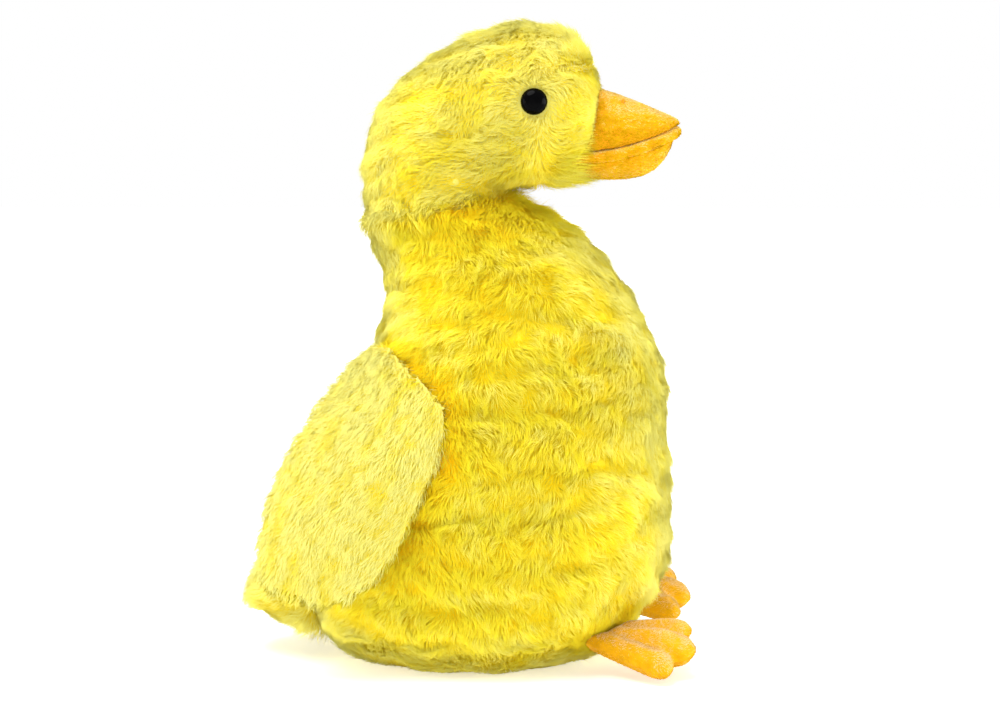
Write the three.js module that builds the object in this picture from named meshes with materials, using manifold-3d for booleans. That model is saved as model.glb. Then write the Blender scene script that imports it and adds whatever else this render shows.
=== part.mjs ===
// A sitting plush duck, in millimetres.
// It faces -Y, its left side is +X, +Z is up, and the origin is the middle of its flat seat.
import * as THREE from "three";
import { mergeVertices } from "three/addons/utils/BufferGeometryUtils.js";
import Module from "manifold-3d";

const wasm = await Module();
wasm.setup();

// Clearances and cloth
const gap = 0.35; // between sewn pieces that meet
const wadding_gap = 0.9; // between a pad's lining and its wadding
const overrun = 12; // how far a cutting solid runs past what it cuts
const fur_skin = 5; // body and head: backing, and the pile pressed flat
const limb_skin = 3.2; // wings and tail
const plush_skin = 2.2; // beak and feet, of short pile
const weld_step = 0.001; // points nearer than this are one
const probe_step = 0.5; // between the points that give a surface its slope
const limb_poses = 4; // steps over a limb's range at which it is cut clear of the body

// Body
const body_height = 218;
const chest_reach = 97; // from the origin forward to the chest
const rump_reach = 79; // from the origin back to the rump
const body_half_width = 77;
// Front y and z, back y and z, and half width, from the seat up to the neck
const body_shares = [
  [0.577, 0, 0.64, 0, 0.62],
  [0.76, 0.056, 0.83, 0.052, 0.77],
  [0.905, 0.135, 0.955, 0.135, 0.91],
  [0.98, 0.235, 0.99, 0.225, 0.985],
  [0.98, 0.35, 0.945, 0.335, 1],
  [0.96, 0.475, 0.82, 0.465, 0.97],
  [0.945, 0.6, 0.63, 0.6, 0.885],
  [0.862, 0.72, 0.47, 0.72, 0.77],
  [0.705, 0.83, 0.475, 0.82, 0.64],
  [0.47, 0.928, 0.525, 0.885, 0.53],
  [0.2, 0.984, 0.57, 0.934, 0.468],
];
// Creases across the flanks, where the plush sinks in between its fuller folds
const crease_depth = 4.5;
const crease_reach_share = 0.04; // above and below, of the way from the seat to the neck
// How far up each is, then its middle and its reach to either side, in degrees round from the front
const body_creases = [
  [0.24, 100, 46],
  [0.32, 58, 34],
  [0.32, 134, 26],
  [0.4, 86, 44],
  [0.48, 52, 32],
  [0.56, 78, 38],
  [0.64, 56, 34],
  [0.72, 68, 36],
];

// Seat
const base_thickness = 3;
const pouch_height = 24;
const pouch_width_share = 0.88; // of the room inside the seat
// Height and width of the bean pouch, from its underside up
const pouch_shares = [
  [0, 0.74],
  [0.16, 0.94],
  [0.45, 1],
  [0.8, 0.86],
  [1, 0.55],
];

// Head and neck, measured from the middle of the neck seam
const head_height = 85.5;
const face_reach = 77;
const head_half_width = 39.5;
// Nape y and z, throat y and z, and half width, from above the neck seam to the face
const head_shares = [
  [-0.44, 0.165, 0.44, 0.118, 0.93],
  [-0.405, 0.4, 0.5, 0.124, 0.96],
  [-0.28, 0.615, 0.565, 0.13, 0.98],
  [-0.04, 0.808, 0.63, 0.135, 1],
  [0.255, 0.938, 0.695, 0.145, 1],
  [0.51, 0.994, 0.76, 0.16, 0.975],
  [0.73, 0.966, 0.825, 0.188, 0.9],
  [0.872, 0.881, 0.888, 0.235, 0.74],
  [0.955, 0.763, 0.95, 0.325, 0.52],
];
const face_shares = [0.99, 0.54];

// Beak, measured from the same point
const beak_reach = 115;
const beak_height = 62;
const beak_half_width = 18.5;
// Ridge y and z, mouth y and z, and half width
const upper_shares = [
  [0.52, 0.93, 0.52, 0.415, 1],
  [0.68, 0.87, 0.68, 0.437, 1],
  [0.765, 0.813, 0.765, 0.468, 0.95],
  [0.845, 0.753, 0.843, 0.513, 0.85],
  [0.915, 0.697, 0.912, 0.565, 0.69],
  [0.953, 0.665, 0.948, 0.608, 0.45],
];
const upper_tip_shares = [0.973, 0.634];
// Chin y and z, mouth y and z, and half width
const lower_shares = [
  [0.52, 0.235, 0.52, 0.402, 0.92],
  [0.66, 0.224, 0.68, 0.424, 0.92],
  [0.75, 0.224, 0.765, 0.455, 0.87],
  [0.835, 0.255, 0.843, 0.5, 0.77],
  [0.897, 0.335, 0.903, 0.548, 0.61],
  [0.935, 0.45, 0.94, 0.588, 0.4],
];
const lower_tip_shares = [0.953, 0.57];
const arch_share = 0.85; // below 1 the arch has fuller shoulders
const beak_hollow_share = 0.87; // of the length, where the hollow ends
const lip_radius = 2.5;
const lip_drop = 2.5; // the roll's middle lies this far below the mouth line
const lip_out = 0.5; // and this far out from the lower beak's edge
const nostril_place_shares = [0.747, 0.775]; // y and z of the beak
const nostril_length = 4;
const nostril_radius = 0.8;
const nostril_slope_angle = 12; // degrees, down towards the tip

// Eyes: plastic domes, each with a ribbed shank that a washer locks from inside
const eye_diameter = 12;
const eye_rise = 4.6;
const eye_sink = 1.4; // how deep the eye's back lies in the pile
const shank_diameter = 4.4;
const shank_length = 13;
const shank_rib_rise = 0.35;
const shank_ribs = 3;
const washer_diameter = 15;
const washer_thickness = 1.8;
const eye_place_shares = [0.612, 0.561]; // y of face_reach and z of head_height

// Wings: where the root seam's middle is in the side view, and how the wing hangs there
const wing_root_y = 17;
const wing_root_z = 138;
const wing_hang_angle = 25.5; // degrees, swept back from straight down
const wing_length = 114;
const wing_half_width = 32.5;
const wing_thickness = 14;
const wing_stand_off = 3; // between the inner panel and the body
const wing_flare_angle = 4; // degrees, outwards on the way down
const wing_turn_angle = 18; // degrees, the back edge turned in
const wing_shoulder_share = 0.46; // of the length, where the wing has left the body
const wing_root_bend = 26; // how far off its middle the root still follows the body round
const wing_lift_range = [0, 85]; // degrees, from hanging to lifted
const wing_middle_shares = [0.54, 0.06]; // along and across, where it is thickest
const wing_root_shares = [-0.5, 0.66]; // of the half width, where the root seam ends
// Along the length and across the half width, round the outline
const wing_outline_shares = [
  [0.03, -0.63],
  [0.135, -0.78],
  [0.31, -0.83],
  [0.5, -0.86],
  [0.63, -0.855],
  [0.77, -0.76],
  [0.88, -0.55],
  [0.945, -0.29],
  [0.98, 0.08],
  [1, 0.5],
  [0.97, 0.75],
  [0.9, 0.91],
  [0.766, 1.04],
  [0.617, 1.13],
  [0.44, 1.1],
  [0.26, 1.02],
  [0.08, 0.9],
  [-0.03, 0.66],
  [-0.02, 0.25],
  [0.01, -0.2],
];

// Feet: where each ankle is on the body's front, and how each foot lies
const ankle_x = 37;
const ankle_z = 16;
const foot_length = 52;
const foot_half_width = 21.5;
const foot_thickness = 18;
const right_heel_sink = 6; // how far the heel reaches into the body's pile
const left_heel_sink = 14.5;
const foot_bend_range = [-25, 20]; // degrees, from toes down to toes up
const right_foot_splay_angle = 15; // degrees, toes outwards
const left_foot_splay_angle = 5;
const foot_pitch_angle = 5; // degrees, toes down
const foot_roll_angle = 20; // degrees, tops turned to the duck's right
const left_ankle_rise = 7; // the left foot is sewn on a little higher
const toe_channel_share = 0.44; // how far the stitched channels press the pad in
const toe_channel_width = 2.6;
const foot_middle_shares = [0.56, 0]; // along and across, where it is thickest
// Along the length and across the half width, from the heel to the middle toe
const foot_outline_shares = [
  [0.02, 0.28],
  [0.2, 0.46],
  [0.42, 0.68],
  [0.63, 0.88],
  [0.76, 0.99],
  [0.85, 0.95],
  [0.885, 0.79],
  [0.88, 0.6],
  [0.865, 0.44],
  [0.93, 0.36],
  [0.985, 0.2],
];
const toe_channel_shares = [
  [0.22, 0.08],
  [0.865, 0.44],
];

// Tail
const tail_stand = 24.5; // how far the tip stands out behind the rump
const tail_reach = rump_reach + tail_stand;
const tail_height = 72;
const tail_half_width = 32;
// Top y and z, underside y and z, and half width
const tail_shares = [
  [0.6, 1, 0.6, 0.17, 1],
  [0.745, 0.87, 0.725, 0.18, 0.95],
  [0.85, 0.69, 0.825, 0.205, 0.8],
  [0.93, 0.54, 0.905, 0.255, 0.6],
  [0.975, 0.44, 0.965, 0.31, 0.34],
];
const tail_tip_shares = [0.992, 0.37];

// How full a pad is: its height over the radius runs as (1 - r^2) to this power
const pad_fullness_share = 0.55;
const pad_ring_shares = [0.35, 0.65, 0.88];
const inward_ring_shares = [...pad_ring_shares].reverse();

// Facets
const body_sides = 28;
const body_rings = 25;
const head_sides = 24;
const beak_sides = 12;
const mouth_sides = 4;
const tail_sides = 18;
const wing_sides = 24;
const foot_sides = 34;
const round_sides = 14;
const dome_steps = 4;
const lip_steps = 16;
const lip_sides = 8;
const lip_stops = 5; // along each side, from the face to the tip
const cap_steps = 3;
const rings_per_station = 1.4;
const halvings = 24; // in the search for a section

// Materials
const cloth = (color) => new THREE.MeshStandardMaterial({ color, roughness: 0.95, metalness: 0 });
const plastic = (color, roughness) => new THREE.MeshStandardMaterial({ color, roughness, metalness: 0 });
const yellow_fur = cloth(0xf2e24a);
const orange_plush = cloth(0xffb03a);
const white_wadding = cloth(0xf4f2ea);
const bean_cloth = cloth(0xd9d2bd);
const brown_thread = cloth(0xb86f16);
const black_plastic = plastic(0x080808, 0.08);
const milky_plastic = plastic(0xdedede, 0.4);

const X = new THREE.Vector3(1, 0, 0);
const Y = new THREE.Vector3(0, 1, 0);
const Z = new THREE.Vector3(0, 0, 1);
const radians = THREE.MathUtils.degToRad;

// Solids
function solidFrom(points, faces) {
  const vertProperties = new Float32Array(points.flatMap((p) => p.toArray()));
  const build = (corners) => {
    const triVerts = new Uint32Array(corners.flat());
    return new wasm.Manifold(new wasm.Mesh({ numProp: 3, vertProperties, triVerts }));
  };
  const made = build(faces);
  return made.volume() > 0 ? made : build(faces.map(([a, b, c]) => [a, c, b]));
}

function middleOf(ring) {
  const sum = ring.reduce((total, p) => total.add(p), new THREE.Vector3());
  return sum.divideScalar(ring.length);
}

// A closed skin through rings of equal count, drawn together onto a point at each end.
function loft(rings, start = middleOf(rings[0]), end = middleOf(rings.at(-1))) {
  const count = rings[0].length;
  const points = [...rings.flat(), start, end];
  const start_index = points.length - 2;
  const end_index = points.length - 1;
  const last = (rings.length - 1) * count;
  const faces = [];
  for (let k = 0; k < count; k++) {
    const next = (k + 1) % count;
    for (let low = 0; low < last; low += count) {
      faces.push([low + k, low + next, low + count + next]);
      faces.push([low + k, low + count + next, low + count + k]);
    }
    faces.push([start_index, next, k]);
    faces.push([end_index, last + k, last + next]);
  }
  return solidFrom(points, faces);
}

// A geometry of three.js as a solid, with its shared vertices joined.
function solidOfGeometry(geometry) {
  geometry.deleteAttribute("normal");
  geometry.deleteAttribute("uv");
  const welded = mergeVertices(geometry, weld_step);
  const place = welded.getAttribute("position");
  const pointAt = (_, v) => new THREE.Vector3().fromBufferAttribute(place, v);
  const points = Array.from({ length: place.count }, pointAt);
  const faces = [];
  for (let f = 0; f < welded.index.count; f += 3) {
    const [a, b, c] = welded.index.array.slice(f, f + 3);
    if (a !== b && b !== c && c !== a) faces.push([a, b, c]);
  }
  return solidFrom(points, faces);
}

function moved(solid, matrix) {
  return solid.transform(matrix.elements);
}

function meshOf(name, solid, material) {
  const { numProp, vertProperties, triVerts } = solid.getMesh();
  const places = [];
  for (let v = 0; v < vertProperties.length; v += numProp) {
    places.push(vertProperties[v], vertProperties[v + 1], vertProperties[v + 2]);
  }
  const geometry = new THREE.BufferGeometry();
  geometry.setAttribute("position", new THREE.Float32BufferAttribute(places, 3));
  geometry.setIndex([...triVerts]);
  const mesh = new THREE.Mesh(geometry, material);
  mesh.name = name;
  return mesh;
}

// Stuffed forms: a front and a back edge in the side view, and the half width between them
function form(stations, tip, sides, section, count = Math.round((stations.length - 1) * rings_per_station)) {
  const curve = (place) => new THREE.CatmullRomCurve3(stations.map(place), false, "catmullrom");
  return {
    front: curve((s) => new THREE.Vector3(0, s[0], s[1])),
    back: curve((s) => new THREE.Vector3(0, s[2], s[3])),
    widths: curve((s) => new THREE.Vector3(s[4], 0, 0)),
    tip: tip && new THREE.Vector3(0, ...tip),
    count,
    sides,
    section,
  };
}

function sectionAt(made, share, inset = 0) {
  const front = made.front.getPoint(share);
  const back = made.back.getPoint(share);
  const way = front.clone().sub(back).normalize();
  return {
    share,
    front: front.addScaledVector(way, -inset),
    back: back.addScaledVector(way, inset),
    width: made.widths.getPoint(share).x - inset,
  };
}

// A section that is round all the way.
function roundSection({ front, back, width }, sides) {
  const middle = front.clone().lerp(back, 1 / 2);
  const reach = front.clone().sub(middle);
  return Array.from({ length: sides }, (_, k) => {
    const turn = (2 * Math.PI * k) / sides;
    return middle.clone().addScaledVector(reach, Math.cos(turn)).addScaledVector(X, width * Math.sin(turn));
  });
}

// A round section that sinks in where creases cross it, alike on both sides.
function creasedSection(section, sides) {
  const ring = roundSection(section, sides);
  const middle = middleOf(ring);
  return ring.map((p, k) => {
    const from_front = 180 - Math.abs(180 - (360 * k) / sides);
    const way = p.clone().sub(middle);
    return middle.clone().add(way.setLength(way.length() - creaseAt(section.share, from_front)));
  });
}

function creaseAt(share, angle) {
  const depths = body_creases.map(([height, middle, reach]) => {
    const beside = Math.min(Math.abs(angle - middle) / reach, 1);
    const above = Math.min(Math.abs(share - height) / crease_reach_share, 1);
    return crease_depth * (1 - above) * Math.cos((beside * Math.PI) / 2);
  });
  return Math.max(...depths);
}

// A section that is flat along its back edge and arched over to its front edge.
function archedSection({ front, back, width }, sides) {
  const rise = front.clone().sub(back);
  const ring = [];
  for (let k = 0; k <= sides; k++) {
    const turn = (Math.PI * k) / sides;
    const height = Math.max(Math.sin(turn), 0) ** arch_share;
    ring.push(back.clone().addScaledVector(rise, height).addScaledVector(X, width * Math.cos(turn)));
  }
  for (let k = 1; k < mouth_sides; k++) {
    ring.push(back.clone().addScaledVector(X, width * ((2 * k) / mouth_sides - 1)));
  }
  return ring;
}

function middleAt(made, share) {
  const { front, back } = sectionAt(made, share);
  return front.lerp(back, 1 / 2);
}

function lengthOf(made) {
  const stops = Array.from({ length: made.count + 1 }, (_, k) => middleAt(made, k / made.count));
  return stops.slice(1).reduce((total, spot, k) => total + spot.distanceTo(stops[k]), 0);
}

// The form as a solid. A negative inset grows it, before and after push its ends out,
// and until ends it early.
function solidOf(made, { inset = 0, before = 0, after = 0, until = 1 } = {}) {
  const rings = [];
  const end = Math.min(until, made.tip ? 1 - inset / lengthOf(made) : 1, 1);
  for (let k = 0; k <= made.count; k++) {
    rings.push(made.section(sectionAt(made, (end * k) / made.count, inset), made.sides));
  }
  const shifted = (ring, way, distance) => ring.map((p) => p.clone().addScaledVector(way, distance));
  const start_way = middleAt(made, 1 / made.count).sub(middleAt(made, 0)).normalize();
  const end_way = middleAt(made, 1).sub(middleAt(made, 1 - 1 / made.count)).normalize();
  if (before) rings.unshift(shifted(rings[0], start_way, -before));
  if (after) rings.push(shifted(rings.at(-1), end_way, after));
  const pointed = made.tip && until === 1;
  return loft(rings, undefined, pointed ? made.tip.clone().addScaledVector(end_way, -inset) : undefined);
}

// Where a line across the duck at this y and z leaves the form: its distance from the middle plane.
function halfWidthAt(made, y, z) {
  let low = 0;
  let high = 1;
  let section;
  for (let k = 0; k < halvings; k++) {
    const share = (low + high) / 2;
    section = sectionAt(made, share);
    const slope = (section.front.z - section.back.z) / (section.front.y - section.back.y);
    if (section.back.z + slope * (y - section.back.y) < z) low = share;
    else high = share;
  }
  const { front, back, width } = section;
  const across = (2 * (y - back.y)) / (front.y - back.y) - 1;
  return width * Math.sqrt(Math.max(1 - across * across, 0));
}

// The spot on a mesh that a ray meets, with the surface's outward way there.
function spotOn(mesh, from, way, spread) {
  const [first, second] = [X, Y, Z].filter((axis) => Math.abs(axis.dot(way)) < 1 / 2);
  const hit = (a, b) => {
    const start = from.clone().addScaledVector(first, a).addScaledVector(second, b);
    return new THREE.Raycaster(start, way).intersectObject(mesh)[0].point;
  };
  const along = hit(spread, 0).sub(hit(-spread, 0));
  const up = hit(0, spread).sub(hit(0, -spread));
  const normal = along.cross(up).normalize();
  if (normal.dot(way) > 0) normal.negate();
  return { point: hit(0, 0), normal };
}

function placedAt(point, normal) {
  const turn = new THREE.Quaternion().setFromUnitVectors(Y, normal);
  return new THREE.Matrix4().compose(point, turn, new THREE.Vector3(1, 1, 1));
}

function rod(radius, low, high) {
  const made = new THREE.CylinderGeometry(radius, radius, high - low, round_sides);
  made.translate(0, (low + high) / 2, 0);
  return solidOfGeometry(made);
}

// Sewn pads: an outline round a middle, domed on both faces, put in place by a function
function pad(outline, middle, thickness, sides, place, pressed = () => 1) {
  const corners = outline.map(([u, v]) => new THREE.Vector3(u, v, 0));
  const curve = new THREE.CatmullRomCurve3(corners, true, "catmullrom");
  const edge = Array.from({ length: sides }, (_, k) => curve.getPoint(k / sides));
  const centre = new THREE.Vector3(...middle, 0);
  return { edge, centre, thickness, place, pressed };
}

function padPoint(made, spot, share, side, inset) {
  const reach = spot.clone().sub(made.centre);
  reach.setLength(Math.max(reach.length() - inset, 0) * share);
  const at = made.centre.clone().add(reach);
  const dome = Math.max(1 - share * share, 0) ** pad_fullness_share;
  const height = (made.thickness / 2 - inset) * dome * made.pressed(at.x, at.y);
  return { at, height: side * height };
}

function padRing(made, share, side, inset, lift) {
  return made.edge.map((spot) => {
    const { at, height } = padPoint(made, spot, share, side, inset);
    return made.place(at.x, at.y, height + side * lift);
  });
}

function padMiddle(made, side, inset, lift) {
  const { at, height } = padPoint(made, made.edge[0], 0, side, inset);
  return made.place(at.x, at.y, height + side * lift);
}

// One panel: its outer face, the flat seam allowance and its lining.
function panelOf(made, side, skin) {
  const lift = gap / 2;
  const rings = [...pad_ring_shares, 1].map((share) => padRing(made, share, side, 0, lift));
  rings.push(...[1, ...inward_ring_shares].map((share) => padRing(made, share, side, skin, lift)));
  return loft(rings, padMiddle(made, side, 0, lift), padMiddle(made, side, skin, lift));
}

function waddingOf(made, skin) {
  const inset = skin + wadding_gap;
  const rings = [...pad_ring_shares, 1].map((share) => padRing(made, share, 1, inset, 0));
  rings.push(...inward_ring_shares.map((share) => padRing(made, share, -1, inset, 0)));
  return loft(rings, padMiddle(made, 1, inset, 0), padMiddle(made, -1, inset, 0));
}

// Body
const bodyStation = ([fy, fz, by, bz, w]) => [
  -chest_reach * fy,
  body_height * fz,
  rump_reach * by,
  body_height * bz,
  body_half_width * w,
];
const bodyForm = (section) => form(body_shares.map(bodyStation), null, body_sides, section, body_rings);
const body_form = bodyForm(creasedSection);
const body_outside = solidOf(body_form);
const body_grown = solidOf(bodyForm(roundSection), { inset: -gap, before: overrun });
const body_inside = solidOf(body_form, { inset: fur_skin, before: overrun, after: overrun });
const body_mesh = meshOf("body", body_outside, yellow_fur);

function makeBody() {
  const floor_height = base_thickness + gap;
  const room = body_form.section(sectionAt(body_form, 0, fur_skin + gap), body_sides);
  const raised = (ring, height) => ring.map((p) => p.clone().setZ(height));
  const base = loft([raised(room, 0), raised(room, base_thickness)]);
  const middle = middleOf(room);
  const pouch = (grow) => {
    const rings = pouch_shares.map(([up, out]) => {
      const height = floor_height + pouch_height * up + grow * (2 * up - 1);
      return room.map((p) => {
        const way = p.clone().sub(middle);
        way.setLength(way.length() * pouch_width_share * out + grow);
        return middle.clone().add(way).setZ(height);
      });
    });
    return loft(rings);
  };
  const stuffing = solidOf(body_form, { inset: fur_skin + gap })
    .trimByPlane(Z.toArray(), floor_height)
    .subtract(pouch(gap));
  return [
    meshOf("body_skin", body_outside.subtract(body_inside), yellow_fur),
    meshOf("base_panel", base, yellow_fur),
    meshOf("bean_pouch", pouch(0), bean_cloth),
    meshOf("body_stuffing", stuffing, white_wadding),
  ];
}

// Head
const neck = sectionAt(body_form, 1);
const neck_middle = middleAt(body_form, 1);
const neck_normal = neck.front.clone().sub(neck.back).normalize().cross(X);

function fromNeck(reach, height) {
  return (y, z) => [neck_middle.y - reach * y, neck_middle.z + height * z];
}

function neckStation() {
  const front = neck.front.clone().addScaledVector(neck_normal, gap);
  const back = neck.back.clone().addScaledVector(neck_normal, gap);
  return [back.y, back.z, front.y, front.z, neck.width];
}

const headPlace = fromNeck(face_reach, head_height);
const headStation = ([ny, nz, ty, tz, w]) => [
  ...headPlace(ny, nz),
  ...headPlace(ty, tz),
  head_half_width * w,
];
const head_form = form(
  [neckStation(), ...head_shares.map(headStation)],
  headPlace(...face_shares),
  head_sides,
  roundSection
);
const head_outside = solidOf(head_form).subtract(body_grown);
const head_grown = solidOf(head_form, { inset: -gap });
const head_mesh = meshOf("head", head_outside, yellow_fur);

// Eyes
const washer_depth = fur_skin + washer_diameter ** 2 / (8 * (head_half_width - fur_skin)) + gap;

function eyeOutline() {
  const radius = eye_diameter / 2;
  const shank = shank_diameter / 2;
  const points = [new THREE.Vector2(0, eye_rise)];
  for (let k = 1; k <= dome_steps; k++) {
    const turn = (Math.PI * k) / (2 * dome_steps);
    points.push(new THREE.Vector2(radius * Math.sin(turn), eye_rise * Math.cos(turn)));
  }
  points.push(new THREE.Vector2(shank, 0));
  const pitch = shank_length / (shank_ribs + 1);
  for (let k = 1; k <= shank_ribs; k++) {
    points.push(new THREE.Vector2(shank, -pitch * k));
    points.push(new THREE.Vector2(shank + shank_rib_rise, -pitch * k - shank_rib_rise));
    points.push(new THREE.Vector2(shank, -pitch * k - 2 * shank_rib_rise));
  }
  points.push(new THREE.Vector2(0, -shank_length));
  return points;
}

function washerOutline() {
  const bore = shank_diameter / 2 + shank_rib_rise + gap;
  const rim = washer_diameter / 2;
  const top = eye_sink - washer_depth;
  const low = top - washer_thickness;
  return [
    new THREE.Vector2(bore, top),
    new THREE.Vector2(bore, low),
    new THREE.Vector2(rim, low),
    new THREE.Vector2(rim, top),
    new THREE.Vector2(bore, top),
  ];
}

function eyeAt(side) {
  const [y, z] = headPlace(eye_place_shares[0], eye_place_shares[1]);
  const from = new THREE.Vector3(side * 2 * head_half_width, y, z);
  const spot = spotOn(head_mesh, from, X.clone().multiplyScalar(-side), eye_diameter / 2);
  return placedAt(spot.point.addScaledVector(spot.normal, -eye_sink), spot.normal);
}

function turned(outline) {
  return solidOfGeometry(new THREE.LatheGeometry(outline, round_sides));
}

const sides = { right: -1, left: 1 };
const eye_places = { right: eyeAt(sides.right), left: eyeAt(sides.left) };

function makeHead() {
  let skin = head_outside.subtract(solidOf(head_form, { inset: fur_skin, before: overrun }));
  let stuffing = solidOf(head_form, { inset: fur_skin + gap });
  const hole = shank_diameter / 2 + shank_rib_rise + gap;
  const pieces = [];
  for (const name of Object.keys(sides)) {
    const place = eye_places[name];
    const pocket = rod(eye_diameter / 2 + gap, -gap, overrun);
    skin = skin.subtract(moved(pocket, place)).subtract(moved(rod(hole, -overrun, overrun), place));
    const washer_low = eye_sink - washer_depth - washer_thickness - gap;
    const room = rod(washer_diameter / 2 + gap, washer_low, overrun);
    stuffing = stuffing.subtract(moved(room, place));
    stuffing = stuffing.subtract(moved(rod(hole, -shank_length - gap, overrun), place));
    pieces.push(meshOf(`eye_${name}`, moved(turned(eyeOutline()), place), black_plastic));
    pieces.push(meshOf(`eye_washer_${name}`, moved(turned(washerOutline()), place), milky_plastic));
  }
  pieces.push(meshOf("head_skin", skin, yellow_fur));
  pieces.push(meshOf("head_stuffing", stuffing, white_wadding));
  return pieces;
}

// Beak
const beakPlace = fromNeck(beak_reach, beak_height);
const beakStation = ([fy, fz, my, mz, w]) => [
  ...beakPlace(fy, fz),
  ...beakPlace(my, mz),
  beak_half_width * w,
];
const beakForm = (shares, tip) => form(shares.map(beakStation), beakPlace(...tip), beak_sides, archedSection);
const upper_form = beakForm(upper_shares, upper_tip_shares);
const lower_form = beakForm(lower_shares, lower_tip_shares);

function lipSolid(radius) {
  const at = (share, side) => {
    const { back, width } = sectionAt(lower_form, share);
    return back.clone().addScaledVector(X, side * (width + lip_out)).addScaledVector(Z, -lip_drop);
  };
  const runs = Array.from({ length: lip_stops + 1 }, (_, k) => k / lip_stops);
  const tip = lower_form.tip.clone().addScaledVector(Y, -lip_out);
  const path = new THREE.CatmullRomCurve3([
    ...runs.map((share) => at(share, sides.right)),
    tip,
    ...[...runs].reverse().map((share) => at(share, sides.left)),
  ]);
  const circle = new THREE.Shape().absarc(0, 0, radius, 0, 2 * Math.PI);
  const tube = new THREE.ExtrudeGeometry(circle, {
    extrudePath: path,
    steps: lip_steps,
    curveSegments: lip_sides / 2,
  });
  return solidOfGeometry(tube);
}

function nostril(side, grow) {
  const [y, z] = beakPlace(...nostril_place_shares);
  const from = new THREE.Vector3(side * 2 * beak_half_width, y, z);
  const beak = meshOf("beak", solidOf(upper_form), orange_plush);
  const spot = spotOn(beak, from, X.clone().multiplyScalar(-side), nostril_length / 2);
  const radius = nostril_radius + grow;
  const thread = new THREE.CapsuleGeometry(radius, nostril_length - 2 * nostril_radius, cap_steps, lip_sides);
  thread.rotateX(Math.PI / 2 + radians(nostril_slope_angle));
  thread.translate(...spot.point.toArray());
  return solidOfGeometry(thread);
}

function makeBeak() {
  const cavity = { inset: plush_skin, before: overrun, after: gap, until: beak_hollow_share };
  const filling = { inset: plush_skin + gap, until: beak_hollow_share };
  const lip_room = lipSolid(lip_radius + gap);
  const skinOf = (made) =>
    solidOf(made).subtract(solidOf(made, cavity)).subtract(head_grown).subtract(lip_room);
  const fillingOf = (made) => solidOf(made, filling).subtract(head_grown).subtract(lip_room);
  let upper = skinOf(upper_form);
  const stitches = Object.entries(sides).map(([name, side]) => {
    upper = upper.subtract(nostril(side, gap));
    return meshOf(`nostril_stitch_${name}`, nostril(side, 0), brown_thread);
  });
  return [
    meshOf("beak_upper_skin", upper, orange_plush),
    meshOf("beak_upper_stuffing", fillingOf(upper_form), white_wadding),
    meshOf("beak_lower_skin", skinOf(lower_form), orange_plush),
    meshOf("beak_lower_stuffing", fillingOf(lower_form), white_wadding),
    meshOf("beak_lip", lipSolid(lip_radius).subtract(head_grown), orange_plush),
    ...stitches,
  ];
}

// Limbs: each is cut back so that it clears the body wherever it turns to between its limits
function turnedAbout({ point, axis }, angle) {
  const turn = new THREE.Quaternion().setFromAxisAngle(axis, radians(angle));
  const shift = point.clone().sub(point.clone().applyQuaternion(turn));
  return new THREE.Matrix4().compose(shift, turn, new THREE.Vector3(1, 1, 1));
}

function clearOfBody(solid, hinge, [low, high]) {
  let made = solid.subtract(body_grown);
  for (let k = 0; k <= limb_poses; k++) {
    const angle = THREE.MathUtils.lerp(low, high, k / limb_poses);
    made = made.subtract(moved(body_grown, turnedAbout(hinge, -angle)));
  }
  return made;
}

// Wings
const wing_down = Z.clone().negate().applyAxisAngle(X, radians(wing_hang_angle));
const wing_back = new THREE.Vector3(0, -wing_down.z, wing_down.y);
const wing_root = new THREE.Vector3(0, wing_root_y, wing_root_z);
const wing_shoulder = wing_length * wing_shoulder_share;
const wing_out =
  halfWidthAt(body_form, ...sideViewOf(wing_shoulder, 0)) + wing_stand_off + wing_thickness / 2;

function sideViewOf(along, across) {
  const spot = wing_root.clone().addScaledVector(wing_down, along).addScaledVector(wing_back, across);
  return [spot.y, spot.z];
}

// The middle of the left wing's thickness: on the body at the root, and a hanging sheet below the shoulder.
function wingSheet(along, across) {
  const [y, z] = sideViewOf(along, across);
  const settled = THREE.MathUtils.smoothstep(along, 0, wing_shoulder);
  const rooted = wing_root_bend * Math.tanh(across / wing_root_bend);
  const on_body = halfWidthAt(body_form, ...sideViewOf(along, rooted));
  const flare = (along - wing_shoulder) * Math.tan(radians(wing_flare_angle));
  const hanging = wing_out + flare - across * Math.tan(radians(wing_turn_angle));
  return new THREE.Vector3(THREE.MathUtils.lerp(on_body, hanging, settled), y, z);
}

function wingPlace(side) {
  return (along, across, height) => {
    const down = wingSheet(along + probe_step, across).sub(wingSheet(along - probe_step, across));
    const back = wingSheet(along, across + probe_step).sub(wingSheet(along, across - probe_step));
    const normal = down.cross(back).normalize();
    if (normal.x < 0) normal.negate();
    const point = wingSheet(along, across).addScaledVector(normal, height);
    return point.multiply(new THREE.Vector3(side, 1, 1));
  };
}

// The root seam's hinge: through its middle, along the line between its ends. Lifting outwards is positive.
function wingHinge(side) {
  const [front, back] = wing_root_shares.map((share) => wingSheet(0, wing_half_width * share));
  const axis = front.sub(back).normalize();
  if (side < 0) axis.set(axis.x, -axis.y, -axis.z);
  return { point: wingSheet(0, 0).multiply(new THREE.Vector3(side, 1, 1)), axis };
}

function makeWing(name, side) {
  const outline = wing_outline_shares.map(([u, v]) => [wing_length * u, wing_half_width * v]);
  const middle = [wing_length * wing_middle_shares[0], wing_half_width * wing_middle_shares[1]];
  const made = pad(outline, middle, wing_thickness, wing_sides, wingPlace(side));
  const cleared = (solid) => clearOfBody(solid, wingHinge(side), wing_lift_range);
  return [
    meshOf(`wing_${name}_outer_panel`, cleared(panelOf(made, 1, limb_skin)), yellow_fur),
    meshOf(`wing_${name}_inner_panel`, cleared(panelOf(made, -1, limb_skin)), yellow_fur),
    meshOf(`wing_${name}_wadding`, cleared(waddingOf(made, limb_skin)), white_wadding),
  ];
}

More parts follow.
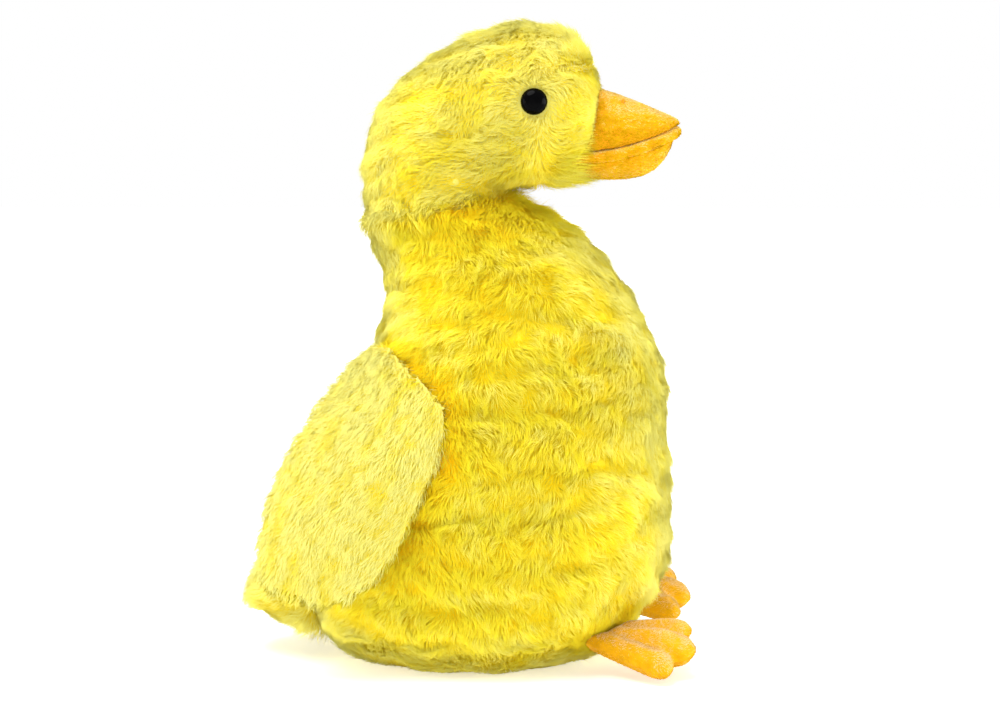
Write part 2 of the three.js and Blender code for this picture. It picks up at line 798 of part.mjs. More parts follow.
// Feet
function footAnkle(side) {
  const rise = side > 0 ? left_ankle_rise : 0;
  const from = new THREE.Vector3(side * ankle_x, -2 * chest_reach, ankle_z + rise);
  return spotOn(body_mesh, from, Y, probe_step).point;
}

function footTurn(side) {
  const splay_angle = side > 0 ? left_foot_splay_angle : right_foot_splay_angle;
  const splay = new THREE.Quaternion().setFromAxisAngle(Z, radians(side * splay_angle));
  const pitch = new THREE.Quaternion().setFromAxisAngle(X, radians(foot_pitch_angle));
  const lean = new THREE.Quaternion().setFromAxisAngle(Y, radians(-foot_roll_angle));
  return splay.multiply(pitch).multiply(lean);
}

function channelDepth(along, across) {
  const [from, to] = toe_channel_shares.map(
    ([u, v]) => new THREE.Vector3(foot_length * u, foot_half_width * v, 0)
  );
  const spot = new THREE.Vector3(along, Math.abs(across), 0);
  const nearest = new THREE.Line3(from, to).closestPointToPoint(spot, true, new THREE.Vector3());
  const off = nearest.distanceTo(spot) / toe_channel_width;
  return 1 - toe_channel_share * Math.exp(-off * off);
}

function makeFoot(name, side) {
  const half_outline = foot_outline_shares.map(([u, v]) => [foot_length * u, foot_half_width * v]);
  const other_half = half_outline.map(([u, v]) => [u, -v]).reverse();
  const outline = [...half_outline, [foot_length, 0], ...other_half, [0, 0]];
  const middle = [foot_length * foot_middle_shares[0], foot_half_width * foot_middle_shares[1]];
  const ankle = footAnkle(side);
  const turn = footTurn(side);
  const heel_sink = side > 0 ? left_heel_sink : right_heel_sink;
  const place = (along, across, height) =>
    new THREE.Vector3(across, heel_sink - along, height).applyQuaternion(turn).add(ankle);
  const made = pad(outline, middle, foot_thickness, foot_sides, place, channelDepth);
  const cleared = (solid) => clearOfBody(solid, footHinge(side), foot_bend_range);
  return [
    meshOf(`foot_${name}_top_panel`, cleared(panelOf(made, 1, plush_skin)), orange_plush),
    meshOf(`foot_${name}_sole_panel`, cleared(panelOf(made, -1, plush_skin)), orange_plush),
    meshOf(`foot_${name}_stuffing`, cleared(waddingOf(made, plush_skin)), white_wadding),
  ];
}

// The ankle seam's hinge, across the foot. Toes up is positive.
function footHinge(side) {
  return { point: footAnkle(side), axis: X.clone().negate().applyQuaternion(footTurn(side)) };
}

// Tail
function makeTail() {
  const tailPlace = (y, z) => [tail_reach * y, tail_height * z];
  const station = ([ty, tz, uy, uz, w]) => [...tailPlace(ty, tz), ...tailPlace(uy, uz), tail_half_width * w];
  const made = form(tail_shares.map(station), tailPlace(...tail_tip_shares), tail_sides, roundSection);
  const outside = solidOf(made);
  const skin = outside.subtract(solidOf(made, { inset: limb_skin, before: overrun })).subtract(body_grown);
  const stuffing = solidOf(made, { inset: limb_skin + gap }).subtract(body_grown);
  return [meshOf("tail_skin", skin, yellow_fur), meshOf("tail_stuffing", stuffing, white_wadding)];
}

// The duck
function grouped(name, meshes) {
  const group = new THREE.Group();
  group.name = name;
  group.add(...meshes);
  return group;
}

const duck = new THREE.Group();
duck.name = "plush_duck";
duck.add(grouped("body", makeBody()), grouped("head", [...makeHead(), ...makeBeak()]));
duck.add(grouped("tail", makeTail()));
duck.userData.hinges = {};
for (const [name, side] of Object.entries(sides)) {
  duck.add(grouped(`wing_${name}`, makeWing(name, side)), grouped(`foot_${name}`, makeFoot(name, side)));
  duck.userData.hinges[`wing_${name}`] = wingHinge(side);
  duck.userData.hinges[`foot_${name}`] = footHinge(side);
}

export default duck;
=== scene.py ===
"""A sitting plush duck: long yellow pile on body, head, tail and wings, short orange on beak and feet."""

import math

import bpy
import numpy as np
from bpy.props import FloatProperty, FloatVectorProperty, IntProperty, PointerProperty
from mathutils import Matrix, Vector
from mathutils.bvhtree import BVHTree
from mathutils.kdtree import KDTree


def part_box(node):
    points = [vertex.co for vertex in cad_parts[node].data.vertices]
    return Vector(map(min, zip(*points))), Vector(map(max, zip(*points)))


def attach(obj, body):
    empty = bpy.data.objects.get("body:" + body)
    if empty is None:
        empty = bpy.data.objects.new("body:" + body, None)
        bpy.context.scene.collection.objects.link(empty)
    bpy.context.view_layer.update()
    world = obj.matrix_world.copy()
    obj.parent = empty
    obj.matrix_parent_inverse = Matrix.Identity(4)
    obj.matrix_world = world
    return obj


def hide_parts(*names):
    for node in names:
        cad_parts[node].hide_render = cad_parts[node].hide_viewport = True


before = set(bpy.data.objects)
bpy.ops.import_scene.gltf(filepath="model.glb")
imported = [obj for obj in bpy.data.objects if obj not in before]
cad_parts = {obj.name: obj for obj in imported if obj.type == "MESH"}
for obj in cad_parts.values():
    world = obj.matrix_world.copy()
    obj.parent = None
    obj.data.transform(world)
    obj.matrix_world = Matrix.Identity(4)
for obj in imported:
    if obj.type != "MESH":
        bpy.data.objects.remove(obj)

bl_info = {
    "name": "Plush duck",
    "version": (1, 0, 0),
    "blender": (4, 5, 0),
    "location": "3D View > Sidebar > Duck",
    "description": "Dresses a sitting plush duck in long pile, short pile, eyes, seams and fillings",
    "category": "Object",
}

MM = 0.001
SIDES = {"right": -1, "left": 1}
UP = np.array((0.0, 0.0, 1.0))
BLACK = (0, 0, 0)
WHITE = (1, 1, 1, 1)
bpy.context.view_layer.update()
WING_PANELS = [f"wing_{side}_{panel}_panel" for side in SIDES for panel in ("outer", "inner")]
FOOT_PANELS = [f"foot_{side}_{panel}_panel" for side in SIDES for panel in ("top", "sole")]
BEAK_NODES = {"upper": "beak_upper_skin", "lower": "beak_lower_skin", "lip": "beak_lip"}

# Grain and rounds of smoothing of each kind of form
FORMS = {
    "body": (2.2 * MM, 9),
    "head": (2 * MM, 10),
    "tail": (1.8 * MM, 8),
    "wing": (1.6 * MM, 4),
    "beak": (0.8 * MM, 4),
    "foot": (0.8 * MM, 3),
    "large filling": (3 * MM, 4),
    "small filling": (1.2 * MM, 4),
    "pouch": (2 * MM, 4),
}

# Seeds of what grows by chance; a pile's own swirls and tones take the next few numbers
SEEDS = {
    "body": 11,
    "head": 27,
    "tail": 31,
    "wing": 41,
    "wing streaks": 47,
    "wing fluff": 53,
    "beak_upper": 61,
    "beak_lower": 66,
    "beak_lip": 71,
    "foot_right": 81,
    "foot_left": 88,
    "lumps": 97,
}


# Settings
def length(name, millimetres, description):
    """A length in metres, given in millimetres."""
    return FloatProperty(
        name=name,
        description=description,
        default=millimetres * MM,
        min=0,
        precision=5,
        subtype="DISTANCE",
        unit="LENGTH",
    )


def angle(name, degrees, description):
    return FloatProperty(
        name=name, description=description, default=math.radians(degrees), subtype="ANGLE", unit="ROTATION"
    )


def share(name, value, description):
    return FloatProperty(name=name, description=description, default=value, min=0, max=1, subtype="FACTOR")


def color(name, value, description):
    return FloatVectorProperty(
        name=name, description=description, default=value, min=0, max=1, size=3, subtype="COLOR"
    )


class DuckPileSettings(bpy.types.PropertyGroup):
    """The long yellow pile."""

    body_length: length("Body", 7.8, "Length of the hairs on the body")
    head_length: length("Head", 7.4, "Length of the hairs on the head and neck")
    wing_length: length("Wings", 6.5, "Length of the hairs on the wings")
    tail_length: length("Tail", 8.5, "Length of the hairs on the tail")
    face_length: length("Face", 4.4, "Length of the hairs round the eyes and the beak")
    hair_width: length("Hair width", 0.34, "Width of a hair at its root")
    spacing: length("Spacing", 0.68, "Distance between hairs")
    tuft_spacing: length("Tufts", 2.6, "Distance between the middles of tufts")
    root_depth: length("Root depth", 1.6, "How deep the backing lies in the pile")
    pull: share("Pull", 0.32, "How far a hair's tip is drawn to the middle of its tuft")
    root_lift: angle("Root lift", 48, "Angle between a hair's root and the backing")
    tip_lift: angle("Tip lift", 4, "Angle between a hair's tip and the backing")
    swirl: angle("Swirl", 34, "How far the pile's lay turns to and fro")
    # Amber and deep colour the pile low down and where it is tinted warmer, which is partly painted shade
    amber_color: color("Amber", (0.98, 0.50, 0.001), "Colour at the roots of the warmest hairs")
    deep_color: color("Deep", (0.98, 0.72, 0.006), "Colour of most hairs at their roots")
    warm_color: color("Warm", (0.98, 0.83, 0.035), "Colour of the warmer hairs at their tips")
    pale_color: color("Pale", (0.98, 0.92, 0.24), "Colour of the palest hairs at their tips")


class DuckNapSettings(bpy.types.PropertyGroup):
    """The short orange pile of beak and feet."""

    nap_length: length("Length", 1.3, "Length of the short pile")
    nap_width: length("Width", 0.42, "Width of a tuft of the short pile at its root")
    spacing: length("Spacing", 0.66, "Distance between the tufts of the short pile")
    lift: angle("Lift", 30, "Angle between the short pile and its backing")
    beak_color: color("Beak", (0.72, 0.38, 0.001), "Colour of the beak's pile at its roots")
    beak_pale_color: color("Beak, pale", (1.0, 0.76, 0.27), "Colour of the beak's pile at its tips")
    foot_color: color("Feet", (0.93, 0.46, 0.002), "Colour of the feet's pile at its roots")
    foot_pale_color: color("Feet, pale", (1.0, 0.7, 0.36), "Colour of the feet's pile at its tips")


class DuckEyeSettings(bpy.types.PropertyGroup):
    """The polished eyes."""

    rings: IntProperty(name="Rings", description="Rings of faces from rim to top", default=12, min=3)
    around: IntProperty(name="Around", description="Faces round the eye", default=56, min=8)
    eye_color: color("Eyes", (0.0008, 0.0008, 0.001), "Colour of the eyes")


class DuckStageSettings(bpy.types.PropertyGroup):
    """Floor, light and camera."""

    azimuth: angle("Azimuth", 274, "Where the camera stands round the duck, from its front")
    elevation: angle("Elevation", 5, "How high the camera stands")
    distance: length("Distance", 968, "From the camera to the point that it looks at")
    lens: FloatProperty(name="Lens", description="Focal length", default=74.6, unit="CAMERA")
    floor_color: color("Floor", (0.9, 0.9, 0.9), "Colour of the floor and the backdrop")


SETTINGS = {
    "duck_pile": DuckPileSettings,
    "duck_nap": DuckNapSettings,
    "duck_eyes": DuckEyeSettings,
    "duck_stage": DuckStageSettings,
}


# Arrays and meshes
def numbers_of(collection, name, width, kind=np.float32):
    """A property of all of a mesh's vertices, faces or corners, with one of them in each row."""
    found = np.zeros(len(collection) * width, kind)
    collection.foreach_get(name, found)
    return found.reshape(-1, width) if width > 1 else found


def places_of(mesh):
    return numbers_of(mesh.vertices, "co", 3).astype(float)


def move_to(mesh, places):
    mesh.vertices.foreach_set("co", places.astype(np.float32).ravel())
    mesh.update()


def corners_of(mesh):
    """The places of a mesh's vertices, and its triangles."""
    mesh.calc_loop_triangles()
    return places_of(mesh), numbers_of(mesh.loop_triangles, "vertices", 3, np.int32)


def joined(nodes):
    """The vertices and triangles of several of the frame's solids."""
    points, faces, first = [], [], 0
    for node in nodes:
        places, triangles = corners_of(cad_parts[node].data)
        points.append(places)
        faces.append(triangles + first)
        first += len(places)
    return np.concatenate(points), np.concatenate(faces)


def solid_of(*nodes):
    """Several of the frame's solids as a tree that can be searched."""
    points, faces = joined(nodes)
    return BVHTree.FromPolygons(points.tolist(), faces.tolist())


def unit(vectors):
    return vectors / np.maximum(np.linalg.norm(vectors, axis=-1, keepdims=True), 1e-9)


def smooth_step(low, high, values):
    """0 up to low, 1 from high on, and a smooth rise between them."""
    t = np.clip((values - low) / (high - low), 0, 1)
    return t * t * (3 - 2 * t)


def mesh_of(name, points, faces):
    """A mesh of faces that all have the same number of corners, or of several such lists."""
    groups = faces if isinstance(faces, list) else [faces]
    mesh = bpy.data.meshes.new(name)
    mesh.vertices.add(len(points))
    mesh.vertices.foreach_set("co", np.asarray(points, np.float32).ravel())
    corners = np.concatenate([group.ravel() for group in groups]).astype(np.int32)
    counts = np.concatenate([np.full(len(group), group.shape[1]) for group in groups]).astype(np.int32)
    mesh.loops.add(len(corners))
    mesh.loops.foreach_set("vertex_index", corners)
    mesh.polygons.add(len(counts))
    mesh.polygons.foreach_set("loop_start", np.concatenate(([0], np.cumsum(counts)[:-1])).astype(np.int32))
    mesh.polygons.foreach_set("loop_total", counts)
    mesh.update(calc_edges=True)
    return mesh


def dress(mesh, material):
    mesh.materials.clear()
    mesh.materials.append(material)


def placed(name, mesh, material, body):
    """Puts a mesh in the scene as a piece that moves with its body."""
    piece = bpy.data.objects.new(name, mesh)
    bpy.context.scene.collection.objects.link(piece)
    dress(mesh, material)
    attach(piece, body)
    return piece


def largest_part(places, faces):
    """The part of a mesh with the most vertices, without bubbles inside it."""
    label = np.arange(len(places))
    edges = np.concatenate([faces[:, [k, (k + 1) % faces.shape[1]]] for k in range(faces.shape[1])])
    while True:
        low = np.minimum(label[edges[:, 0]], label[edges[:, 1]])
        before = label.copy()
        np.minimum.at(label, edges[:, 0], low)
        np.minimum.at(label, edges[:, 1], low)
        label = label[label]
        if (label == before).all():
            break
    kept = label == np.bincount(label).argmax()
    new = np.cumsum(kept) - 1
    return places[kept], new[faces[kept[faces[:, 0]]]]


def remeshed(name, nodes, grain, rounds):
    """Several of the frame's solids melted together: the vertices and the four-sided faces."""
    rough = mesh_of(name, *joined(nodes))
    maker = bpy.data.objects.new(name, rough)
    bpy.context.scene.collection.objects.link(maker)
    remesh = maker.modifiers.new("Remesh", "REMESH")
    remesh.mode = "VOXEL"
    remesh.voxel_size = grain
    smooth = maker.modifiers.new("Smooth", "SMOOTH")
    smooth.iterations = rounds
    made = maker.evaluated_get(bpy.context.evaluated_depsgraph_get())
    found = made.to_mesh()
    places = places_of(found)
    quads = numbers_of(found.loops, "vertex_index", 1, np.int32).reshape(-1, 4)
    made.to_mesh_clear()
    bpy.data.objects.remove(maker)
    bpy.data.meshes.remove(rough)
    return largest_part(places, quads)


SEAM_FADE = (0.5 * MM, 6 * MM)  # from a seam, where a form begins to sink and where it's sunk in fully


def smooth_form(name, nodes, form, inset, beside=None):
    """One smooth closed mesh round some of the frame's solids, sunk in by inset except at its seam."""
    mesh = mesh_of(name, *remeshed(name, nodes, *FORMS[form]))
    places = places_of(mesh)
    depth = np.full(len(places), inset)
    if beside:
        depth *= smooth_step(*SEAM_FADE, away_from(beside, places, SEAM_FADE[1]))
    move_to(mesh, places - depth[:, None] * numbers_of(mesh.vertex_normals, "vector", 3))
    return mesh


class Waves:
    """A smooth random field with about unit spread: a sum of plane waves."""

    count = 12
    length_shares = (0.6, 1.5)

    def __init__(self, seed, wavelength, stretch=(1, 1, 1)):
        draw = np.random.default_rng(seed)
        ways = unit(draw.normal(size=(self.count, 3)))
        size = 2 * np.pi / wavelength * draw.uniform(*self.length_shares, (self.count, 1))
        self.waves = ways * size / np.array(stretch)
        self.phase = draw.uniform(0, 2 * np.pi, self.count)

    def at(self, points):
        return np.sin(points @ self.waves.T + self.phase).sum(1) * math.sqrt(2 / self.count)


# Materials
MATT = 0.9
PILE_BLEND = (0.1, 0.95)  # depths between which pile turns from its root colours to its tip colours; the darker, warmer colours low in the pile are partly root colour and partly painted shade
CLOTH_BLEND = (0.35, 0.65)
CLOTH_GLOSS = 0.15
CLOTH_SHEEN = 0.2
GRAIN_HEIGHT = 0.4 * MM
GRAIN_SHARE = 14  # grains across one blotch of a cloth


def material_with(name):
    material = bpy.data.materials.new(name)
    material.use_nodes = True
    tree = material.node_tree
    return material, tree, tree.nodes["Principled BSDF"]


def fill_sockets(tree, node, values):
    """Sets each of a node's sockets, or links it where its value is another socket."""
    for name, value in values.items():
        if isinstance(value, bpy.types.NodeSocket):
            tree.links.new(value, node.inputs[name])
        else:
            node.inputs[name].default_value = value


def add_node(tree, kind, values, **fields):
    node = tree.nodes.new(kind)
    for name, value in fields.items():
        setattr(node, name, value)
    fill_sockets(tree, node, values)
    return node


def ramp_of(tree, source, stops):
    """A run of colours, each with its place on the run."""
    stops = list(stops)
    node = add_node(tree, "ShaderNodeValToRGB", {"Fac": source})
    elements = node.color_ramp.elements
    while len(elements) < len(stops):
        elements.new(0.5)
    for element, (place, value) in zip(elements, stops):
        element.position = place
        element.color = (*value, 1)
    return node.outputs["Color"]


def between(first, second, part):
    return tuple(a + (b - a) * part for a, b in zip(first, second))


def pile_material(name, root_stops, tip_stops):
    """Pile coloured from root to tip along the map's first axis, and from warm to pale along its second;
    darker and warmer low in the pile, partly root colour and partly painted shade.
    """
    material, tree, shader = material_with(name)
    places = add_node(tree, "ShaderNodeUVMap", {}, uv_map="OFBake")
    split = add_node(tree, "ShaderNodeSeparateXYZ", {0: places.outputs["UV"]})
    root = ramp_of(tree, split.outputs["Y"], root_stops)
    tip = ramp_of(tree, split.outputs["Y"], tip_stops)
    start, end = PILE_BLEND
    values = {"Value": split.outputs["X"], "From Min": start, "From Max": end}
    along = add_node(tree, "ShaderNodeMapRange", values, interpolation_type="SMOOTHSTEP")
    mix = add_node(
        tree, "ShaderNodeMix", {"Factor": along.outputs["Result"], 6: root, 7: tip}, data_type="RGBA"
    )
    fill_sockets(tree, shader, {"Base Color": mix.outputs[2], "Roughness": MATT, "Specular IOR Level": 0})
    return material


def cloth_material(name, dark, light, scale, bump=0.3):
    """Plain backing cloth with a fine knitted grain and slight blotches."""
    material, tree, shader = material_with(name)
    places = add_node(tree, "ShaderNodeTexCoord", {}).outputs["Object"]
    blotches = add_node(tree, "ShaderNodeTexNoise", {"Vector": places, "Scale": scale, "Detail": 6})
    grain = add_node(
        tree, "ShaderNodeTexNoise", {"Vector": places, "Scale": scale * GRAIN_SHARE, "Detail": 3}
    )
    raised = add_node(
        tree, "ShaderNodeBump",
        {"Height": grain.outputs["Fac"], "Strength": bump, "Distance": GRAIN_HEIGHT},
    )
    values = {
        "Base Color": ramp_of(tree, blotches.outputs["Fac"], zip(CLOTH_BLEND, (dark, light))),
        "Normal": raised.outputs["Normal"],
        "Roughness": MATT,
        "Specular IOR Level": CLOTH_GLOSS,
        "Sheen Weight": CLOTH_SHEEN,
    }
    fill_sockets(tree, shader, values)
    return material


def plain_material(name, tone, roughness):
    material, tree, shader = material_with(name)
    fill_sockets(tree, shader, {"Base Color": (*tone, 1), "Roughness": roughness})
    return material


# Hairs
STOPS = 3  # places along a hair
TAPER_SHARE = 0.6  # of a hair's width that is left below its tip
GATHER_POWER = 1.4  # above 1, a tuft's hairs meet nearer to their tips
LENGTH_SHARE = 0.45  # of a place's depth in the pile that follows from the place along the hair
MAP_STEP = 0.03  # how far along the map a hair's middle corner lies, so that no face is flat there
MAP_SPREAD = 0.003  # half the width of a hair in the map
HIGHEST_SHARES = (0.96, 0.99)  # of the map's depth, that a hair's rings and its tip reach
TINT_SHARES = (0.004, 0.996)


def scattered(mesh, spacing, draw):
    """Random places on a mesh, about spacing apart, with the surface's way out there."""
    places, triangles = corners_of(mesh)
    out = numbers_of(mesh.vertex_normals, "vector", 3).astype(float)
    a, b, c = (places[triangles[:, k]] for k in range(3))
    area = np.linalg.norm(np.cross(b - a, c - a), axis=1) / 2
    count = int(area.sum() / spacing**2)
    heap = np.cumsum(area)
    steps = (np.arange(count) + draw.uniform(0, 1, count)) / count
    face = np.searchsorted(heap, steps * heap[-1]).clip(0, len(triangles) - 1)
    u, v = draw.uniform(0, 1, (2, count))
    over = u + v > 1
    u[over], v[over] = 1 - u[over], 1 - v[over]
    weights = np.stack([1 - u - v, u, v], 1)[:, :, None]
    roots = (places[triangles[face]] * weights).sum(1)
    return roots, unit((out[triangles[face]] * weights).sum(1))


def ahead(tree, roots, ways, reach):
    """How far it is from each root to the tree along its way, or reach if nothing is nearer."""
    found = np.full(len(roots), reach)
    for k, (root, way) in enumerate(zip(roots.tolist(), ways.tolist())):
        distance = tree.ray_cast(root, way, reach)[3]
        if distance is not None:
            found[k] = distance
    return found


def away_from(tree, roots, reach):
    """How far each root is from the tree's surface, or reach if it's further."""
    found = np.full(len(roots), reach)
    for k, root in enumerate(roots.tolist()):
        distance = tree.find_nearest(root, reach)[3]
        if distance is not None:
            found[k] = distance
    return found


def near(tree, points, most, reach):
    """Most on the tree's surface, fading to 0 at reach."""
    return most * (1 - smooth_step(0, reach, away_from(tree, points, reach)))


def thinned(points, spacing):
    """The first of the points in each cell of a grid."""
    cells = np.floor(points / spacing).astype(np.int64)
    return np.unique(cells, axis=0, return_index=True)[1]


def tangent(ways, out):
    return unit(ways - (ways * out).sum(1, keepdims=True) * out)


def turned(ways, out, angles):
    """Each way turned about the surface's way out."""
    across = np.cross(out, ways)
    return ways * np.cos(angles)[:, None] + across * np.sin(angles)[:, None]


def curved_paths(roots, out, ways, lengths, root_lift, tip_lift):
    """Points along hairs that leave their roots steeply and lie down towards their tips."""
    paths = [roots]
    step = lengths[:, None] / (STOPS - 1)
    for k in range(STOPS - 1):
        part = k / (STOPS - 2)
        lift = (root_lift * (1 - part) + tip_lift * part)[:, None]
        paths.append(paths[-1] + step * (ways * np.cos(lift) + out * np.sin(lift)))
    return np.stack(paths, 1)


def tufted(paths, roots, tufts, tuft_paths, pull):
    """Paths drawn to those of the nearest tuft, the more the nearer to their tips."""
    tree = KDTree(len(tufts))
    for k, point in enumerate(tufts.tolist()):
        tree.insert(point, k)
    tree.balance()
    nearest = np.array([tree.find(root)[1] for root in roots.tolist()])
    along = np.linspace(0, 1, STOPS)[None, :, None] ** GATHER_POWER
    return paths + (tuft_paths[nearest] - paths) * along * pull[:, None, None], nearest


def depths_of(paths, out, usual):
    """How far up in the pile each stop of each hair is: 0 at the backing, 1 at the pile's usual height."""
    heights = ((paths - paths[:, :1]) * out[:, None]).sum(2)
    along = np.linspace(0, 1, STOPS)
    return (LENGTH_SHARE * along + (1 - LENGTH_SHARE) * heights / usual[:, None]).clip(0, 1)


def hair_faces(count, rings):
    """The faces of three-sided hairs in a row: their sides, and their closed ends."""
    each = rings * 3 + 1
    first = (np.arange(count) * each)[:, None, None]
    ring = np.array([[3 * r + k, 3 * r + (k + 1) % 3] for r in range(rings - 1) for k in range(3)])
    sides = np.concatenate([ring, ring[:, ::-1] + 3], 1)
    tip = np.array([[3 * rings - 3 + k, 3 * rings - 3 + (k + 1) % 3, each - 1] for k in range(3)])
    ends = np.concatenate([[[0, 2, 1]], tip])
    return [(first + group[None]).reshape(-1, group.shape[1]) for group in (sides, ends)]


def map_hairs(mesh, depths, tints, rings):
    """Gives hairs their map: depth in the pile along its first axis, and tint along its second."""
    flat = np.empty((len(depths), rings * 3 + 1, 2))
    below, top = HIGHEST_SHARES
    step = np.tile((0, MAP_STEP, 0), rings)
    spread = np.tile((-MAP_SPREAD, 0, MAP_SPREAD), rings)
    flat[:, :-1, 0] = np.repeat(depths[:, :rings], 3, axis=1).clip(0, below) + step
    flat[:, -1, 0] = depths[:, -1].clip(0, top)
    flat[:, :-1, 1] = tints[:, None].clip(*TINT_SHARES) + spread
    flat[:, -1, 1] = tints.clip(*TINT_SHARES)
    corners = numbers_of(mesh.loops, "vertex_index", 1, np.int32)
    layer = mesh.uv_layers.new(name="OFBake")
    layer.uv.foreach_set("vector", flat.reshape(-1, 2)[corners].astype(np.float32).ravel())


def hair_mesh(name, paths, out, widths, tints, depths, roundness=0.45):
    """Tapered three-sided hairs, closed at both ends, that catch light as the form below them does."""
    count = len(paths)
    rings = STOPS - 1
    along = unit(np.gradient(paths, axis=1))[:, :rings]
    across = unit(np.cross(along, out[:, None]))
    rise = np.cross(along, across)
    taper = np.linspace(1, TAPER_SHARE, rings)[None, :, None]
    radius = widths[:, None, None] / 2 * taper
    turns = np.pi / 2 + 2 * np.pi * np.arange(3) / 3
    offsets = [across * math.cos(t) + rise * math.sin(t) for t in turns]
    sides = np.stack([paths[:, :rings] + radius * offset for offset in offsets], 2)
    points = np.concatenate([sides.reshape(count, rings * 3, 3), paths[:, -1:]], 1)
    radial = np.stack(offsets, 2).reshape(count, rings * 3, 3)
    shade = unit(roundness * np.concatenate([radial, along[:, -1:]], 1) + out[:, None])
    mesh = mesh_of(name, points.reshape(-1, 3), hair_faces(count, rings))
    map_hairs(mesh, depths, tints, rings)
    normals = mesh.attributes.new("custom_normal", "FLOAT_VECTOR", "POINT")
    normals.data.foreach_set("vector", shade.astype(np.float32).ravel())
    mesh.update()
    return mesh


# The lay of the pile
EYES = [np.array((low + high) / 2) for low, high in map(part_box, (f"eye_{side}" for side in SIDES))]
HEAD_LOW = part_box("head_skin")[0]
BODY_PARTING = -20 * MM  # hairs in front of it lean forward, those behind it back
BODY_LEAN = 40 * MM
BODY_LEAN_SHARE = 0.3
SEAT_DROP_SHARE = 0.1
SEAT_HEIGHTS = (30 * MM, 6 * MM)  # between them the lay turns from down to outwards
BROW_RISES = (20 * MM, 6 * MM)
CHEEK_REACH = 16 * MM
CHEEK_WAY = np.array((0, -1, -0.35))
PARTING_WAY = np.array((0, 0, -1.2))  # where the lay turns from back to forward
CROWN_DROP_SHARE = 0.2
EYE_FAN = (7 * MM, 13 * MM)


def one_way(way):
    """A lay with the same way everywhere."""
    return lambda points: np.tile(way, (len(points), 1))


def body_lay(points):
    """The way the body's pile is combed: down, and out to all sides round the seat."""
    back = np.tanh((points[:, 1] - BODY_PARTING) / BODY_LEAN)
    way = np.stack([np.zeros_like(back), BODY_LEAN_SHARE * back, -np.ones_like(back)], 1)
    low = smooth_step(*SEAT_HEIGHTS, points[:, 2])[:, None]
    spread = unit(points * (1, 1, 0)) - SEAT_DROP_SHARE * UP
    return way * (1 - low) + spread * low


def head_lay(points):
    """Back over the head, round the nape and down the neck, and forward in front of the eyes."""
    up = np.maximum(points[:, 2] - HEAD_LOW.z, 0)
    behind = np.maximum(points[:, 1] - HEAD_LOW.y / 2, 0)
    back = unit(np.stack([np.zeros_like(up), up, -behind - CROWN_DROP_SHARE * up], 1))
    eye = EYES[0]
    below = smooth_step(*(eye[2] + rise for rise in BROW_RISES), points[:, 2])
    front = (smooth_step(eye[1] + CHEEK_REACH, eye[1] - CHEEK_REACH, points[:, 1]) * below)[:, None]
    return back * (1 - front) + CHEEK_WAY * front + front * (1 - front) * PARTING_WAY


def by_eyes(points, near_by, far):
    """0 at the eyes, 1 far from them."""
    found = np.ones(len(points))
    for middle in EYES:
        found = np.minimum(found, smooth_step(near_by, far, np.linalg.norm(points - middle, axis=1)))
    return found


def from_eyes(points):
    """The way out from the nearer eye's middle, fading with distance."""
    way = np.zeros_like(points)
    for middle in EYES:
        off = points - middle
        distance = np.linalg.norm(off, axis=1, keepdims=True)
        way += off / np.maximum(distance, 1e-6) * (1 - smooth_step(*EYE_FAN, distance))
    return way


# Long pile
MOST_HAIRS = 19_000  # in one piece
ROOT_SUNK = 0.5 * MM
LOWEST_HAIR = 0.6 * MM
CLEAR_SHARE = 0.3  # of the room ahead of a root that it also keeps to its sides
WIDTH_SHARES = (0.75, 1.25)

# Swirls: the wide ones and the small ones, which are stronger on the flanks than on front and back
SWIRLS = (55 * MM, 13 * MM)
SMALL_SWIRL_SHARE = 0.8
FLANK_SHARES = (0.3, 0.85)  # of a way out that points sideways, from front or back to flank
FRONT_SWIRL_SHARE = 0.65
SWIRLS_BY_EYES = (5 * MM, 11 * MM)
FAN_SHARE = 0.9  # how much of the lay fans out from the eyes beside them

# Ridges: where hairs are longer and stand up more
RIDGE = 17 * MM
RIDGE_SHARES = (1.6, 1.6, 0.8)  # of a ridge's length, along the three axes
RIDGE_LENGTH_SHARE = 0.1
RIDGE_ROOT_SHARE = 0.25
RIDGE_TIP_LIFT = 0.18  # in radians, as the other lifts here
LOOSE_HAIR_SHARE = 0.06
LOOSE_LIFT = 0.7
LOOSE_SHARES = (0.5, 0.2)  # of a way out that points sideways, where hairs stand off the outline
PRESSED_ROOT_SHARE = 0.4
PRESSED_TIP_LIFT = 0.2

# Pockets: where the pile opens, with short hairs and darker roots, which are painted shade in the openings
POCKET = 10 * MM
POCKET_WAVES = (0.9, 1.9)
POCKETS_BY_EYES = (8 * MM, 14 * MM)
POCKET_LENGTH_SHARE = 0.35
POCKET_SHADE_SHARE = 0.9
COMBED_DEPTH_SHARE = 0.7
EYE_DEPTH_SHARE = 0.55
DEPTHS_BY_EYES = (6 * MM, 12 * MM)

# Tufts: how their hairs gather, and how they differ
TUFT_SHIFT = 1 * MM
PULL_SHARES = (0.6, 1.25)
FRONT_PULL_SHARE = 0.6
TONES = (30 * MM, 8 * MM)
TONE_TINT = 0.05
TUFT_TINT = 0.03
HAIR_TINT = 0.04


